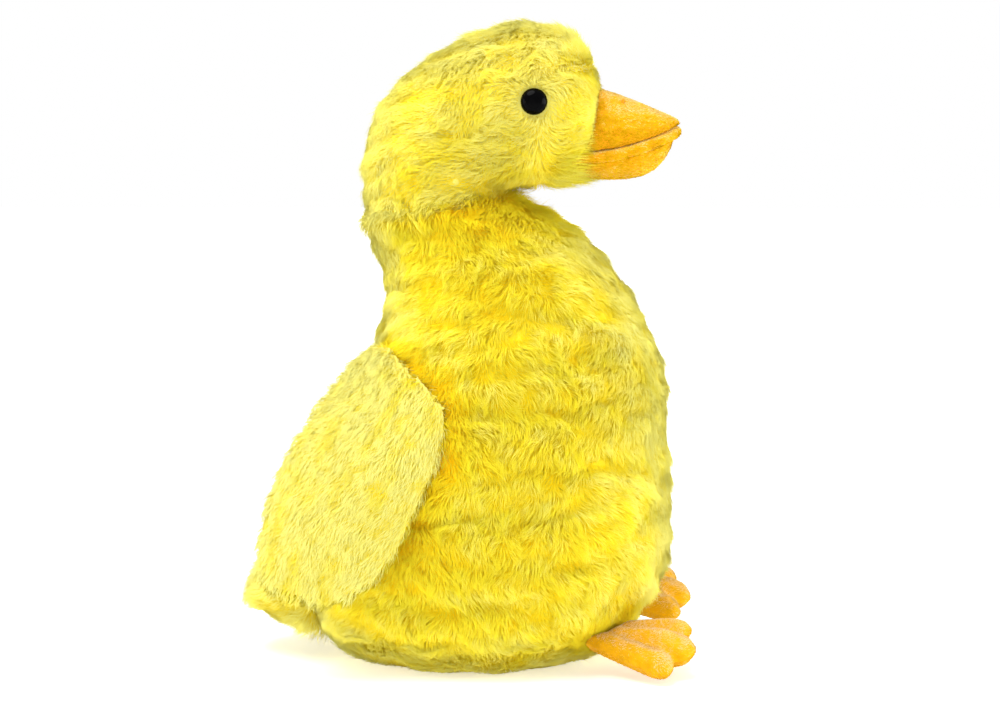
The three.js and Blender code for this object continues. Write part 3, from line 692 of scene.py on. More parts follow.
class Pile:
    """The long pile of one form: which way its hairs lie, how long they are and how they stand."""

    def __init__(self, settings, seed, reach, lay, short, press, swirl=1.0, toward=None):
        self.settings = settings
        self.reach = reach
        self.lay = lay
        self.short = short
        self.press = press
        self.swirl = swirl
        self.toward = toward
        self.draw = np.random.default_rng(seed)
        self.swirls = [Waves(seed + 1 + k, size) for k, size in enumerate(SWIRLS)]
        self.ridges = Waves(seed + 3, RIDGE, stretch=RIDGE_SHARES)
        self.tones = [Waves(seed + 4 + k, size) for k, size in enumerate(TONES)]
        self.pockets = Waves(seed + 6, POCKET)

    def opened(self, points):
        """1 in the pile's open pockets, 0 elsewhere and by the eyes."""
        return smooth_step(*POCKET_WAVES, self.pockets.at(points)) * by_eyes(points, *POCKETS_BY_EYES)

    def flank(self, out, least):
        """The pile's swirl on the flanks, and least of it on front and back."""
        return self.swirl * (least + (1 - least) * smooth_step(*FLANK_SHARES, np.abs(out[:, 0])))

    def ways(self, points, out, flank, wander):
        """The way each hair lies, combed and swirled."""
        wide, small = (swirl.at(points) for swirl in self.swirls)
        turn = np.tanh(self.settings.swirl * (wide + SMALL_SWIRL_SHARE * small)) * flank
        turn += self.draw.normal(0, wander, len(points))
        comb = tangent(self.lay(points) + FAN_SHARE * from_eyes(points), out)
        return turned(comb, out, turn * by_eyes(points, *SWIRLS_BY_EYES))

    def root_lift(self, points):
        """How steeply hairs leave their roots, less where they are pressed."""
        return self.settings.root_lift * (1 - PRESSED_ROOT_SHARE * self.press(points))

    def paths(self, points, out, wander, stray):
        """Combed hairs, whose ways wander and whose lengths stray by chance."""
        flank = self.flank(out, FRONT_SWIRL_SHARE)
        ways = self.ways(points, out, flank, wander)
        raised = self.ridges.at(points) * flank
        chance = self.draw.normal(0, stray, len(points))
        lengths = self.reach * np.exp(chance + RIDGE_LENGTH_SHARE * raised) * self.short(points)
        lengths *= 1 - POCKET_LENGTH_SHARE * self.opened(points)
        flat = self.press(points)
        root_lift = self.root_lift(points) * (1 + RIDGE_ROOT_SHARE * raised)
        chosen = self.draw.random(len(points)) < LOOSE_HAIR_SHARE
        loose = LOOSE_LIFT * chosen * smooth_step(*LOOSE_SHARES, np.abs(out[:, 0]))
        tip_lift = (self.settings.tip_lift + RIDGE_TIP_LIFT * raised + loose) * (1 - flat)
        tip_lift -= PRESSED_TIP_LIFT * flat
        made = curved_paths(points, out, ways, lengths, root_lift, tip_lift)
        if self.toward:
            weight, aim = self.toward(points, out)
            reached = (lengths[:, None] * aim)[:, None] * np.linspace(0, 1, STOPS)[None, :, None]
            made += (points[:, None] + reached - made) * weight[:, None, None]
        return made

    def usual_height(self, roots, out, level):
        """How high the pile stands round each root, as the measure of a hair's depth in it."""
        low = EYE_DEPTH_SHARE * (1 - by_eyes(roots, *DEPTHS_BY_EYES))
        usual = level * (1 - low) * self.reach * self.short(roots) * np.sin(self.root_lift(roots))
        if self.toward:
            usual *= 1 - COMBED_DEPTH_SHARE * self.toward(roots, out)[0]
        # painted shade in the pockets: their hairs read as deeper, so they take darker root colours
        return usual * (1 + POCKET_SHADE_SHARE * self.opened(roots))

    def grow(self, prefix, mesh, body, blockers, tint, level=0.55):
        """Covers a form in tufts of hair and puts them in place as a few pieces."""
        settings, draw = self.settings, self.draw
        roots, out = scattered(mesh, settings.spacing, draw)
        free = np.ones(len(roots), bool)
        for tree, clear in blockers:
            free &= ahead(tree, roots, out, clear) >= clear
            free &= away_from(tree, roots, CLEAR_SHARE * clear) >= CLEAR_SHARE * clear
        roots, out = roots[free], out[free]
        count = len(roots)
        start = roots - out * ROOT_SUNK
        paths = self.paths(start, out, wander=0.22, stray=0.12)
        middles = thinned(roots + draw.uniform(-1, 1, 3) * TUFT_SHIFT, settings.tuft_spacing)
        tuft_paths = self.paths(start[middles], out[middles], wander=0.6, stray=0.2)
        flank = FRONT_PULL_SHARE + (1 - FRONT_PULL_SHARE) * self.flank(out, 0)
        pull = settings.pull * draw.uniform(*PULL_SHARES, count) * flank
        paths, nearest = tufted(paths, roots, roots[middles], tuft_paths, pull)
        paths[:, :, 2] = np.maximum(paths[:, :, 2], LOWEST_HAIR)
        tints = tint(roots, out) + draw.normal(0, TUFT_TINT, len(middles))[nearest]
        tints += TONE_TINT * sum(tones.at(roots) for tones in self.tones)
        tints = (tints + draw.normal(0, HAIR_TINT, count)).clip(0, 1)
        widths = settings.hair_width * draw.uniform(*WIDTH_SHARES, count)
        depths = depths_of(paths, out, self.usual_height(roots, out, level))
        order = np.argsort(np.arctan2(roots[:, 0], -roots[:, 1]), kind="stable")
        parts = math.ceil(count / MOST_HAIRS)
        for k, some in enumerate(np.array_split(order, parts)):
            name = f"{prefix}_{k + 1:02d}" if parts > 1 else prefix
            made = hair_mesh(name, paths[some], out[some], widths[some], tints[some], depths[some])
            placed(name, made, pile_material_of(settings), body)


def pile_material_of(settings):
    """The material of all the long pile, made at its first use."""
    deep, warm, pale = settings.deep_color, settings.warm_color, settings.pale_color
    return bpy.data.materials.get("yellow_pile") or pile_material(
        "yellow_pile",
        [(0.0, settings.amber_color), (0.5, deep), (1.0, between(deep, warm, 0.5))],
        [(0.0, between(deep, warm, 0.3)), (0.4, warm), (0.75, between(warm, pale, 0.7)), (1.0, pale)],
    )


BACKING_SHARES = (0.2, 0.8)  # from deep to warm, of a backing's two tones
# painted shade: the backing's tones darkened towards black, as the pile's shadow on it
BACKING_LIGHT_SHARE = 0.87


def backing_of(settings, name="yellow_backing", paler=0.0):
    """The cloth that the long pile grows from, in the colours of the pile's depths, darkened: painted shade
    under the pile.
    """
    deep = between(settings.deep_color, settings.pale_color, paler)
    warm = between(settings.warm_color, settings.pale_color, paler)
    tones = (between(deep, warm, part) for part in BACKING_SHARES)
    dark, light = (between(BLACK, tone, BACKING_LIGHT_SHARE) for tone in tones)
    return bpy.data.materials.get(name) or cloth_material(name, dark, light, scale=90)


# Operators, each with its own values: a pair for what lies near a piece holds how much and how far
SEAM_CLEAR = 0.6 * MM
FOOT_CLEAR = 1.2 * MM
SEAT_RIM = (-0.5 * MM, 6 * MM)
SEAT_LENGTH_SHARE = 0.3
LONG_BY_HEAD = (0.4, 16 * MM)
PRESSED_BY_WING = (0.4, 6 * MM)
# Painted shade on the body's pile next to the wings and under the head, and painted orange bounce light by
# the feet
PAINTED_SHADE_BY_WING = (0.55, 15 * MM)
PAINTED_SHADE_BY_HEAD = (0.65, 42 * MM)
PAINTED_BOUNCE_BY_FOOT = (0.5, 18 * MM)
BODY_TINT = 0.43
BODY_RIM_LIGHT_TINT = 0.3  # painted rim light at the outline: more on front and back than on the flanks
BODY_RIM_LIGHT_SHARES = (0.95, 0.4)
BODY_FRONT_SHARES = (-0.3, 0.3)


class DUCK_OT_body(bpy.types.Operator):
    """Covers the body in long pile"""

    bl_idname = "duck.body"
    bl_label = "Body"

    def execute(self, context):
        settings = context.scene.duck_pile
        nodes = ("body_skin", "body_stuffing", "base_panel", "bean_pouch")
        head, tail, feet = solid_of("head_skin"), solid_of("tail_skin"), solid_of(*FOOT_PANELS)
        cover = smooth_form("body_cover", nodes, "body", settings.root_depth, head)
        piece = placed("body_cover", cover, backing_of(settings), "body")
        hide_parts("body_skin", "base_panel")
        wings = solid_of(*WING_PANELS)

        def short(points):
            above = (1 - SEAT_LENGTH_SHARE) * smooth_step(*SEAT_RIM, points[:, 2])
            return SEAT_LENGTH_SHARE + above + near(head, points, *LONG_BY_HEAD)

        def press(points):
            return near(wings, points, *PRESSED_BY_WING)

        def tint(points, out):
            # painted shade from the wings and, on the front, under the head; painted bounce light from the
            # feet
            front = smooth_step(*BODY_FRONT_SHARES, -out[:, 1])
            painted_shade_and_bounce = near(wings, points, *PAINTED_SHADE_BY_WING) + near(head, points, *PAINTED_SHADE_BY_HEAD) * front
            painted_shade_and_bounce += near(feet, points, *PAINTED_BOUNCE_BY_FOOT)
            # painted rim light: paler where the body faces front or back, at its outline from the side
            edge = smooth_step(*BODY_RIM_LIGHT_SHARES, np.abs(out[:, 0]))
            return BODY_TINT + BODY_RIM_LIGHT_TINT * edge - painted_shade_and_bounce

        pile = Pile(settings, SEEDS["body"], settings.body_length, body_lay, short, press)
        blockers = [(head, SEAM_CLEAR), (tail, SEAM_CLEAR), (feet, FOOT_CLEAR)]
        pile.grow("body_pile", cover, "body", blockers, tint)
        return {"FINISHED"}


HEAD_PALER_SHARE = 0.7
EYE_CLEAR = 3 * MM
COMBED_BY_BEAK = (0.9, 14 * MM)
BEAK_COMB_WAY = np.array((0, -1, -0.1))
BEAK_OUT_SHARE = 0.22
FRINGE_BY_BEAK = (1, 20 * MM)
FRINGE_HEIGHTS = (250 * MM, 228 * MM)  # of its short top over the beak and its long foot beside it
FRINGE_SHARES = (0.45, 1.9)
CHIN_HEIGHTS = (232 * MM, 222 * MM)
CHIN_DEPTHS = (-30 * MM, -42 * MM)
CHIN_LENGTH_SHARE = 0.3
FACE_REACH = (6 * MM, 16 * MM)
LONG_BY_NECK = (0.4, 9 * MM)
PRESSED_BY_NECK = (0.75, 9 * MM)
HEAD_TINT = 0.56
# Painted light on the head's pile: paler where it faces up or back, towards the top and back lamps
HEAD_TOP_BACK_LIGHT_TINT = 0.22
HEAD_TOP_LIGHT_SHARES = (0.1, 0.9)
HEAD_BACK_LIGHT_SHARES = (0.2, 0.9)
FACE_TINT = 0.15
FACE_TINT_REACH = (8 * MM, 24 * MM)


class DUCK_OT_head(bpy.types.Operator):
    """Covers the head and neck in long pile, short round the eyes and the beak"""

    bl_idname = "duck.head"
    bl_label = "Head"

    def execute(self, context):
        settings = context.scene.duck_pile
        nodes = ("head_skin", "head_stuffing", "eye_washer_right", "eye_washer_left")
        neck, beak = solid_of("body_skin"), solid_of(*BEAK_NODES.values())
        cover = smooth_form("head_cover", nodes, "head", settings.root_depth, neck)
        backing = backing_of(settings, "head_backing", HEAD_PALER_SHARE)
        piece = placed("head_cover", cover, backing, "body")
        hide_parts("head_skin")
        floor = settings.face_length / settings.head_length

        def toward(points, out):
            return near(beak, points, *COMBED_BY_BEAK), unit(BEAK_COMB_WAY + BEAK_OUT_SHARE * out)

        def short(points):
            top, foot = FRINGE_SHARES
            fringe = top + (foot - top) * smooth_step(*FRINGE_HEIGHTS, points[:, 2])
            by_beak = 1 - near(beak, points, *FRINGE_BY_BEAK) * (1 - fringe)
            chin = smooth_step(*CHIN_HEIGHTS, points[:, 2]) * smooth_step(*CHIN_DEPTHS, points[:, 1])
            face = floor + (1 - floor) * by_eyes(points, *FACE_REACH)
            return face * by_beak * (1 + CHIN_LENGTH_SHARE * chin) + near(neck, points, *LONG_BY_NECK)

        def press(points):
            return near(neck, points, *PRESSED_BY_NECK)

        def tint(points, out):
            # painted light on crown and nape
            crown = smooth_step(*HEAD_TOP_LIGHT_SHARES, out[:, 2])
            nape = smooth_step(*HEAD_BACK_LIGHT_SHARES, out[:, 1])
            face = 1 - by_eyes(points, *FACE_TINT_REACH)
            return HEAD_TINT + HEAD_TOP_BACK_LIGHT_TINT * np.maximum(crown, nape) + FACE_TINT * face

        reach = settings.head_length
        pile = Pile(settings, SEEDS["head"], reach, head_lay, short, press, toward=toward)
        eyes = solid_of("eye_right", "eye_left")
        blockers = [(neck, SEAM_CLEAR), (beak, SEAM_CLEAR), (eyes, EYE_CLEAR)]
        pile.grow("head_pile", cover, "body", blockers, tint)
        return {"FINISHED"}


LONG_BY_RUMP = (0.4, 8 * MM)
TAIL_TINT = 0.82
# painted top light: the tail's pile paler where it faces up
TAIL_TOP_LIGHT_TINT = 0.1
TAIL_PRESS = -0.8  # below 0, the pile is fluffed up
TAIL_WAY = (0, 1.0, -0.35)


class DUCK_OT_tail(bpy.types.Operator):
    """Covers the tail in long pile"""

    bl_idname = "duck.tail"
    bl_label = "Tail"

    def execute(self, context):
        settings = context.scene.duck_pile
        skin = solid_of("body_skin")
        nodes = ("tail_skin", "tail_stuffing")
        cover = smooth_form("tail_cover", nodes, "tail", settings.root_depth, skin)
        piece = placed("tail_cover", cover, backing_of(settings), "body")
        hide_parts("tail_skin")

        def short(points):
            return 1 + near(skin, points, *LONG_BY_RUMP)

        def press(points):
            return TAIL_PRESS

        def tint(points, out):
            # painted top light
            return TAIL_TINT + TAIL_TOP_LIGHT_TINT * out[:, 2]

        pile = Pile(settings, SEEDS["tail"], settings.tail_length, one_way(TAIL_WAY), short, press)
        pile.grow("tail_pile", cover, "body", [(skin, SEAM_CLEAR)], tint, level=0.6)
        return {"FINISHED"}


WING_PALER_SHARE = 0.6
WING_STREAK = 13 * MM
WING_STREAK_SHARES = (1, 0.9, 3.5)  # of a streak's length, along the three axes
WING_STREAK_TINT = 0.22
WING_STREAK_WAVES = (-1.6, 0)
WING_FLUFF = 9 * MM
WING_FLUFF_SHARE = 0.22
WING_FLUFF_WAVES = (-1, 2)
# Painted light on the wings: the outer face, turned to the lamps, paler than the inner face
WING_INNER_TINT = 0.5
WING_LIT_OUTER_TINT = 0.98
WING_LIT_OUTER_SHARES = (-0.2, 0.5)
WING_RIM_SHARES = (0.65, 0.2)
WING_RIM_COMB_SHARE = 0.65
WING_RIM_WAY = (0, 0.2, -0.6)
WING_PRESS = 0.7
WING_SWIRL_SHARE = 0.3
WING_WAY = (0, 0.48, -1.0)


class DUCK_OT_wings(bpy.types.Operator):
    """Covers each wing in smooth pile"""

    bl_idname = "duck.wings"
    bl_label = "Wings"

    def execute(self, context):
        skin = solid_of("body_skin")
        for side, sign in SIDES.items():
            self.dress_wing(context.scene.duck_pile, f"wing_{side}", sign, skin)
        return {"FINISHED"}

    def dress_wing(self, settings, body, sign, skin):
        panels = (f"{body}_outer_panel", f"{body}_inner_panel")
        nodes = (*panels, f"{body}_wadding")
        cover = smooth_form(f"{body}_cover", nodes, "wing", settings.root_depth / 2, skin)
        backing = backing_of(settings, "wing_backing", WING_PALER_SHARE)
        piece = placed(cover.name, cover, backing, body)
        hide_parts(*panels)
        streaks = Waves(SEEDS["wing streaks"], WING_STREAK, stretch=WING_STREAK_SHARES)
        fluff = Waves(SEEDS["wing fluff"], WING_FLUFF)

        def short(points):
            return 1 + WING_FLUFF_SHARE * fluff.at(points).clip(*WING_FLUFF_WAVES)

        def press(points):
            return WING_PRESS

        def tint(points, out):
            # painted light on the outer face
            outer = smooth_step(*WING_LIT_OUTER_SHARES, sign * out[:, 0])
            streaked = WING_STREAK_TINT * outer * streaks.at(points).clip(*WING_STREAK_WAVES)
            return WING_INNER_TINT + (WING_LIT_OUTER_TINT - WING_INNER_TINT) * outer + streaked

        def toward(points, out):
            rim = smooth_step(*WING_RIM_SHARES, np.abs(out[:, 0]))
            return WING_RIM_COMB_SHARE * rim, unit(out + WING_RIM_WAY)

        reach, lay = settings.wing_length, one_way(WING_WAY)
        pile = Pile(settings, SEEDS["wing"], reach, lay, short, press, WING_SWIRL_SHARE, toward)
        pile.grow(f"{body}_pile", cover, body, [], tint, level=0.4)


# Short pile
NAP_SUNK = 0.15 * MM
NAP_SEAM_CLEAR = 0.8 * MM
NAP_SWIRL = 14 * MM
NAP_SWIRL_TURN = 0.5  # in radians
NAP_WANDER = 0.35
NAP_LENGTH_SHARES = (0.7, 1.2)
NAP_LIFT_SHARES = (0.6, 1.4)
NAP_TIP_SHARE = 0.3  # of its root's lift, that a tuft has at its tip
NAP_WIDTH_SHARES = (0.8, 1.2)
NAP_DEPTH_SHARE = 0.55
NAP_BLOTCHES = (10 * MM, 3 * MM)
NAP_BLOTCH_TINT = 0.1
# painted top light: the short pile paler where it faces up
NAP_TOP_LIGHT_TINT = 0.75
NAP_TUFT_TINT = 0.09
# painted shade beside neighbouring pieces: how much and how far
NAP_PAINTED_SHADE = (0.15, 5 * MM)
NAP_MIDDLE_SHARES = (0.6, 0.55, 0.006)  # from dark to pale, in red, green and blue


def nap_material_of(name, dark, pale):
    """Short pile, dark at its roots, whose tips turn from dark to pale; near black at its lowest tints and
    depths, which is painted shade.
    """
    middle = tuple(low + (high - low) * part for low, high, part in zip(dark, pale, NAP_MIDDLE_SHARES))
    return pile_material(
        name,
        # the stops near black: painted shade
        [(0.0, between(BLACK, dark, 0.75)), (0.5, dark), (1.0, between(dark, pale, 0.5))],
        [(0.0, between(BLACK, dark, 0.8)), (0.3, dark), (0.55, middle), (1.0, pale)],
    )


def grow_nap(name, mesh, settings, material, body, seed, lay, blockers, tint):
    """Covers a form in short pile, paler where it faces up, which is painted top light, and darker beside
    its neighbours, which is painted shade.
    """
    draw = np.random.default_rng(seed)
    roots, out = scattered(mesh, settings.spacing, draw)
    free = np.ones(len(roots), bool)
    for tree, clear in blockers:
        free &= ahead(tree, roots, out, clear) >= clear
    roots, out = roots[free], out[free]
    count = len(roots)
    turn = NAP_SWIRL_TURN * Waves(seed + 1, NAP_SWIRL).at(roots) + draw.normal(0, NAP_WANDER, count)
    ways = turned(tangent(lay(roots), out), out, turn)
    lengths = settings.nap_length * draw.uniform(*NAP_LENGTH_SHARES, count)
    lifts = settings.lift * draw.uniform(*NAP_LIFT_SHARES, count)
    paths = curved_paths(roots - out * NAP_SUNK, out, ways, lengths, lifts, lifts * NAP_TIP_SHARE)
    # painted top light
    tints = tint + NAP_TOP_LIGHT_TINT * np.maximum(out[:, 2], 0)
    for k, size in enumerate(NAP_BLOTCHES):
        tints += NAP_BLOTCH_TINT * Waves(seed + 2 + k, size).at(roots)
    tints += draw.normal(0, NAP_TUFT_TINT, count)
    # painted shade beside neighbouring pieces
    for tree, clear in blockers:
        tints -= near(tree, roots, *NAP_PAINTED_SHADE)
    widths = settings.nap_width * draw.uniform(*NAP_WIDTH_SHARES, count)
    usual = np.full(count, NAP_DEPTH_SHARE * settings.nap_length * math.sin(settings.lift))
    depths = depths_of(paths, out, usual)
    made = hair_mesh(name, paths, out, widths, tints.clip(0, 1), depths, roundness=0.8)
    placed(name, made, material, body)


BEAK_INSET = -0.35 * MM
BEAK_CLEAR = 0.25 * MM
BEAK_TINTS = {"upper": 0.22, "lower": 0.48, "lip": 0.42}
BEAK_NAP_WAY = (0, -1.0, -0.2)
BEAK_CLOTH = (0.85, 0.34, 0.002)
STITCH_COLORS = ((0.6, 0.22, 0.003), (0.75, 0.32, 0.005))


class DUCK_OT_beak(bpy.types.Operator):
    """Makes the beak's two halves and its rolled lip, and colours the nostril stitches"""

    bl_idname = "duck.beak"
    bl_label = "Beak"

    def execute(self, context):
        settings = context.scene.duck_nap
        dark, pale = settings.beak_color, settings.beak_pale_color
        cloth = cloth_material("beak_cloth", BEAK_CLOTH, dark, scale=160)
        pile = nap_material_of("beak_pile", dark, pale)
        head = solid_of("head_skin")
        for part, node in BEAK_NODES.items():
            nodes = (node,) if part == "lip" else (node, f"beak_{part}_stuffing")
            cover = smooth_form(f"beak_{part}_cover", nodes, "beak", BEAK_INSET)
            piece = placed(cover.name, cover, cloth, "body")
            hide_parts(node)
            others = [solid_of(other) for other in BEAK_NODES.values() if other != node]
            blockers = [(head, NAP_SEAM_CLEAR)] + [(other, BEAK_CLEAR) for other in others]
            grow_nap(
                f"beak_{part}_nap", cover, settings, pile, "body", SEEDS[f"beak_{part}"],
                one_way(BEAK_NAP_WAY), blockers, BEAK_TINTS[part],
            )
        thread = cloth_material("nostril_thread", *STITCH_COLORS, scale=900)
        for side in SIDES:
            dress(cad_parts[f"nostril_stitch_{side}"].data, thread)
        return {"FINISHED"}


FOOT_INSET = 0.2 * MM
FOOT_TINT = 0.32
FOOT_WAY = (0, -1.0, -0.1)
FOOT_CLOTH_SHARE = 0.8  # of the light of the feet's colour


class DUCK_OT_feet(bpy.types.Operator):
    """Makes each foot's top and sole, with short pile"""

    bl_idname = "duck.feet"
    bl_label = "Feet"

    def execute(self, context):
        settings = context.scene.duck_nap
        dark, pale = settings.foot_color, settings.foot_pale_color
        cloth = cloth_material("foot_cloth", between(BLACK, dark, FOOT_CLOTH_SHARE), dark, scale=160)
        pile = nap_material_of("foot_pile", dark, pale)
        skin = solid_of("body_skin")
        for side in SIDES:
            body = f"foot_{side}"
            panels = (f"{body}_top_panel", f"{body}_sole_panel")
            cover = smooth_form(f"{body}_cover", (*panels, f"{body}_stuffing"), "foot", FOOT_INSET)
            piece = placed(cover.name, cover, cloth, body)
            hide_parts(*panels)
            grow_nap(
                f"{body}_nap", cover, settings, pile, body, SEEDS[body],
                one_way(FOOT_WAY), [(skin, NAP_SEAM_CLEAR)], FOOT_TINT,
            )
        return {"FINISHED"}


SHANK_SHARE = 0.37  # of the eye's radius, as are the next three
POLE_SHARE = 0.02
RIM_SHARE = 0.97
WIDEST_SHARE = 0.99
RIM_DEPTHS = (0.3 * MM, 0.35 * MM)  # of the rim's edge and of the shank's root
EYE_HAZE = (0.05, 0.12)
EYE_GLOSS = 0.03


class DUCK_OT_eyes(bpy.types.Operator):
    """Makes the round polished eyes"""

    bl_idname = "duck.eyes"
    bl_label = "Eyes"

    def execute(self, context):
        settings = context.scene.duck_eyes
        material = eye_material(settings)
        for side, sign in SIDES.items():
            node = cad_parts[f"eye_{side}"]
            mesh = eye_mesh(f"eye_{side}_dome", node.data, settings, sign)
            piece = placed(mesh.name, mesh, material, "body")
            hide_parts(node.name)
        return {"FINISHED"}


def eye_material(settings):
    """Polished black with a faint haze."""
    material, tree, shader = material_with("eye_black")
    places = add_node(tree, "ShaderNodeTexCoord", {}).outputs["Object"]
    haze = add_node(tree, "ShaderNodeTexNoise", {"Vector": places, "Scale": 400})
    least, most = EYE_HAZE
    values = {"Value": haze.outputs["Fac"], "To Min": least, "To Max": most}
    roughness = add_node(tree, "ShaderNodeMapRange", values)
    values = {
        "Base Color": (*settings.eye_color, 1),
        "Roughness": roughness.outputs["Result"],
        "Specular IOR Level": EYE_GLOSS,
    }
    fill_sockets(tree, shader, values)
    return material


def eye_mesh(name, mesh, settings, sign):
    """A fine lathe in the frame's eye: dome, rim and shank."""
    places = corners_of(mesh)[0]
    middle = places.mean(0)
    spread = np.linalg.eigh(np.cov((places - middle).T))[1]
    axis = spread[:, np.abs(spread[0]).argmax()]
    axis = axis if axis[0] * sign > 0 else -axis
    heights = (places - middle) @ axis
    reach = np.linalg.norm((places - middle) - heights[:, None] * axis, axis=1)
    radius, top, foot = reach.max(), heights.max(), heights.min()
    rim = heights[reach > radius * WIDEST_SHARE].mean()
    turns = np.linspace(0, np.pi / 2, settings.rings)[1:]
    dome = [(radius * math.sin(t), rim + (top - rim) * math.cos(t)) for t in turns]
    edge, root = RIM_DEPTHS
    shank = radius * SHANK_SHARE
    below = [(radius * RIM_SHARE, rim - edge), (shank, rim - root), (shank, foot)]
    return lathed(name, middle, axis, [(POLE_SHARE * radius, top), *dome, *below], settings.around)


def lathed(name, middle, axis, profile, count):
    """A closed form turned about an axis, from a profile of radii and heights."""
    first = unit(np.cross(axis, UP))
    second = np.cross(axis, first)
    around = np.linspace(0, 2 * np.pi, count, endpoint=False)
    circle = np.cos(around)[:, None] * first + np.sin(around)[:, None] * second
    rows = [middle + circle * radius + axis * height for radius, height in profile]
    ends = [middle + axis * profile[k][1] for k in (0, -1)]
    points = np.concatenate([*rows, ends])
    here = np.arange(count)
    after = (here + 1) % count
    starts = [row * count for row in range(len(rows))]
    sides = [
        np.stack([high + here, low + here, low + after, high + after], 1)
        for high, low in zip(starts, starts[1:])
    ]
    crown = np.stack([np.full(count, len(points) - 2), here, after], 1)
    foot = np.stack([np.full(count, len(points) - 1), starts[-1] + after, starts[-1] + here], 1)
    return mesh_of(name, points, [np.concatenate(sides), np.concatenate([crown, foot])])


FILLING_INSET = 0.3 * MM
LUMP_SHARES = (6, 0.12)  # of the grain of a filling's form: a lump's width and height
LUMP_WAVES = (-1.5, 0.5)
FIBRE_COLORS = ((0.74, 0.73, 0.69), (0.9, 0.89, 0.86))
CANVAS_COLORS = ((0.55, 0.5, 0.4), (0.74, 0.7, 0.58))
WASHER_COLOR = (0.78, 0.78, 0.76)
LARGE_FILLINGS = ("body_stuffing", "head_stuffing", "tail_stuffing")
SMALL_FILLINGS = {
    "beak_upper_stuffing": "body",
    "beak_lower_stuffing": "body",
    "wing_right_wadding": "wing_right",
    "wing_left_wadding": "wing_left",
    "foot_right_stuffing": "foot_right",
    "foot_left_stuffing": "foot_left",
}


class DUCK_OT_fillings(bpy.types.Operator):
    """Makes the fibre fillings, the wadding and the bean pouch, and colours the eye washers"""

    bl_idname = "duck.fillings"
    bl_label = "Fillings"

    def execute(self, context):
        fibre = cloth_material("white_fibre", *FIBRE_COLORS, scale=120, bump=0.8)
        canvas = cloth_material("pouch_canvas", *CANVAS_COLORS, scale=200)
        washer = plain_material("milky_washer", WASHER_COLOR, roughness=0.4)
        for node in LARGE_FILLINGS:
            self.fill(node, "body", "large filling", fibre, "white_fill")
        for node, body in SMALL_FILLINGS.items():
            self.fill(node, body, "small filling", fibre, "white_fill")
        self.fill("bean_pouch", "body", "pouch", canvas, "pouch_cloth")
        for side in SIDES:
            dress(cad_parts[f"eye_washer_{side}"].data, washer)
        return {"FINISHED"}

    def fill(self, node, body, form, material, slot):
        mesh = smooth_form(f"{node}_fill", (node,), form, FILLING_INSET)
        grain = FORMS[form][0]
        wide, high = LUMP_SHARES
        places = places_of(mesh)
        lumps = Waves(SEEDS["lumps"], grain * wide).at(places).clip(*LUMP_WAVES) * grain * high
        move_to(mesh, places + numbers_of(mesh.vertex_normals, "vector", 3) * lumps[:, None])
        piece = placed(mesh.name, mesh, material, body)
        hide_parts(node)


# Stage: places and distances in metres, the sensor's width in millimetres
AIM = Vector((0, -16.4 * MM, 141.4 * MM))
LAMP_AIM = Vector((0, 0, 0.13))
SENSOR_WIDTH = 36
SEEN_DISTANCES = (0.05, 30)
FLOOR_REACH = 12
FLOOR_FADE = (0.2, 0.9)
FLOOR_GLOWS = (0.35, 0.42)  # where the fade that the camera sees starts, and the least of all
SKY_STRENGTH = 0.68
LAMPS = {  # place, size and power
    "lamp_top_back": ((-0.35, 0.3, 1.3), 1.0, 18),
    "lamp_camera": ((-1.4, 0.1, 0.2), 1.2, 1),
    "lamp_front": ((-0.05, -1.35, 0.14), 1.2, 18),
    "lamp_back": ((-0.1, 1.35, 0.08), 1.2, 11),
}


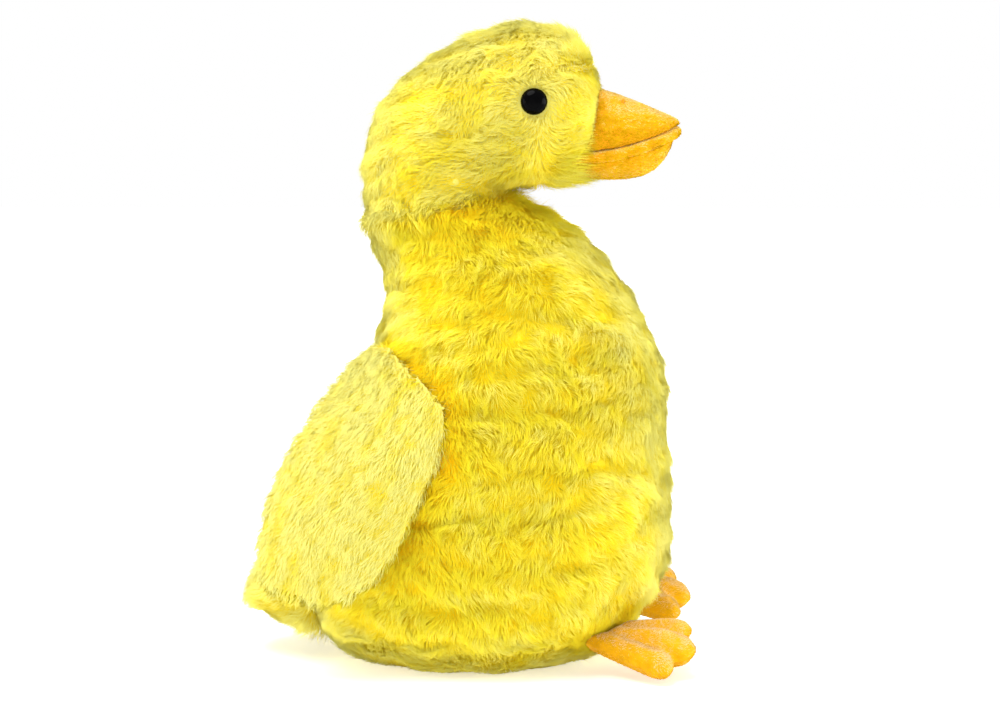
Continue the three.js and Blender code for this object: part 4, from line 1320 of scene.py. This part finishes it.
class DUCK_OT_stage(bpy.types.Operator):
    """Sets the floor, the light and the camera"""

    bl_idname = "duck.stage"
    bl_label = "Stage"

    def execute(self, context):
        settings = context.scene.duck_stage
        self.place_camera(context.scene, settings)
        self.lay_floor(settings)
        self.light_sky(context.scene)
        for name, values in LAMPS.items():
            self.add_lamp(name, *values)
        context.scene.view_settings.view_transform = "Standard"
        return {"FINISHED"}

    def place_camera(self, scene, settings):
        around, up = settings.azimuth, settings.elevation
        back = Vector((math.sin(around) * math.cos(up), -math.cos(around) * math.cos(up), math.sin(up)))
        data = bpy.data.cameras.new("camera")
        data.lens = settings.lens
        data.sensor_width = SENSOR_WIDTH
        data.clip_start, data.clip_end = SEEN_DISTANCES
        camera = bpy.data.objects.new("camera", data)
        scene.collection.objects.link(camera)
        camera.location = AIM + back * settings.distance
        self.face(camera, -back)
        scene.camera = camera

    def face(self, piece, way):
        piece.rotation_mode = "QUATERNION"
        piece.rotation_quaternion = way.to_track_quat("-Z", "Y")

    def lay_floor(self, settings):
        """Lays plain pale paper that fades to white away from the duck."""
        signs = ((-1, -1, 0), (1, -1, 0), (1, 1, 0), (-1, 1, 0))
        mesh = mesh_of("floor", np.array(signs) * FLOOR_REACH, np.array([[0, 1, 2, 3]]))
        material, tree, shader = material_with("floor_paper")
        path = add_node(tree, "ShaderNodeLightPath", {})
        places = add_node(tree, "ShaderNodeTexCoord", {}).outputs["Object"]
        far = add_node(tree, "ShaderNodeVectorMath", {0: places}, operation="LENGTH")
        start, end = FLOOR_FADE
        seen_glow, least_glow = FLOOR_GLOWS
        values = {"Value": far.outputs["Value"], "From Min": start, "From Max": end, "To Min": seen_glow}
        fade = add_node(tree, "ShaderNodeMapRange", values)
        sockets = {0: path.outputs["Is Camera Ray"], 1: fade.outputs["Result"]}
        seen = add_node(tree, "ShaderNodeMath", sockets, operation="MULTIPLY")
        glow = add_node(tree, "ShaderNodeMath", {0: seen.outputs[0], 1: least_glow}, operation="MAXIMUM")
        values = {
            "Base Color": (*settings.floor_color, 1),
            "Roughness": MATT,
            "Specular IOR Level": 0,
            "Emission Color": WHITE,
            "Emission Strength": glow.outputs[0],
        }
        fill_sockets(tree, shader, values)
        floor = bpy.data.objects.new("floor", mesh)
        mesh.materials.append(material)
        bpy.context.scene.collection.objects.link(floor)

    def light_sky(self, scene):
        """Lights the duck from all round, and shows plain white behind it."""
        world = bpy.data.worlds.new("studio")
        world.use_nodes = True
        scene.world = world
        tree = world.node_tree
        sky = tree.nodes["Background"]
        fill_sockets(tree, sky, {"Color": WHITE, "Strength": SKY_STRENGTH})
        white = add_node(tree, "ShaderNodeBackground", {"Color": WHITE, "Strength": 1})
        rays = add_node(tree, "ShaderNodeLightPath", {}).outputs
        seen = rays["Is Camera Ray"]
        for kind in ("Glossy", "Transmission"):
            sockets = {0: seen, 1: rays[f"Is {kind} Ray"]}
            seen = add_node(tree, "ShaderNodeMath", sockets, operation="MAXIMUM").outputs[0]
        mix = add_node(tree, "ShaderNodeMixShader", {"Fac": seen, 1: sky.outputs[0], 2: white.outputs[0]})
        tree.links.new(mix.outputs[0], tree.nodes["World Output"].inputs["Surface"])

    def add_lamp(self, name, place, size, power):
        data = bpy.data.lights.new(name, "AREA")
        data.shape = "DISK"
        data.size = size
        data.energy = power
        lamp = bpy.data.objects.new(name, data)
        bpy.context.scene.collection.objects.link(lamp)
        lamp.location = place
        self.face(lamp, LAMP_AIM - Vector(place))


OPERATORS = (
    DUCK_OT_stage,
    DUCK_OT_body,
    DUCK_OT_head,
    DUCK_OT_tail,
    DUCK_OT_wings,
    DUCK_OT_beak,
    DUCK_OT_feet,
    DUCK_OT_eyes,
    DUCK_OT_fillings,
)


class DUCK_PT_panel(bpy.types.Panel):
    """Lists the duck's operators and its settings"""

    bl_idname = "DUCK_PT_panel"
    bl_label = "Plush duck"
    bl_space_type = "VIEW_3D"
    bl_region_type = "UI"
    bl_category = "Duck"

    def draw(self, context):
        for operator in OPERATORS:
            self.layout.operator(operator.bl_idname)
        for name, group in SETTINGS.items():
            box = self.layout.box()
            for prop in group.__annotations__:
                box.prop(getattr(context.scene, name), prop)


CLASSES = (*SETTINGS.values(), *OPERATORS, DUCK_PT_panel)


def register():
    for made in CLASSES:
        bpy.utils.register_class(made)
    for name, group in SETTINGS.items():
        setattr(bpy.types.Scene, name, PointerProperty(type=group))


def unregister():
    for name in SETTINGS:
        delattr(bpy.types.Scene, name)
    for made in reversed(CLASSES):
        bpy.utils.unregister_class(made)


def main():
    register()
    for operator in OPERATORS:
        group, name = operator.bl_idname.split(".")
        getattr(getattr(bpy.ops, group), name)()


if __name__ == "__main__":
    main()
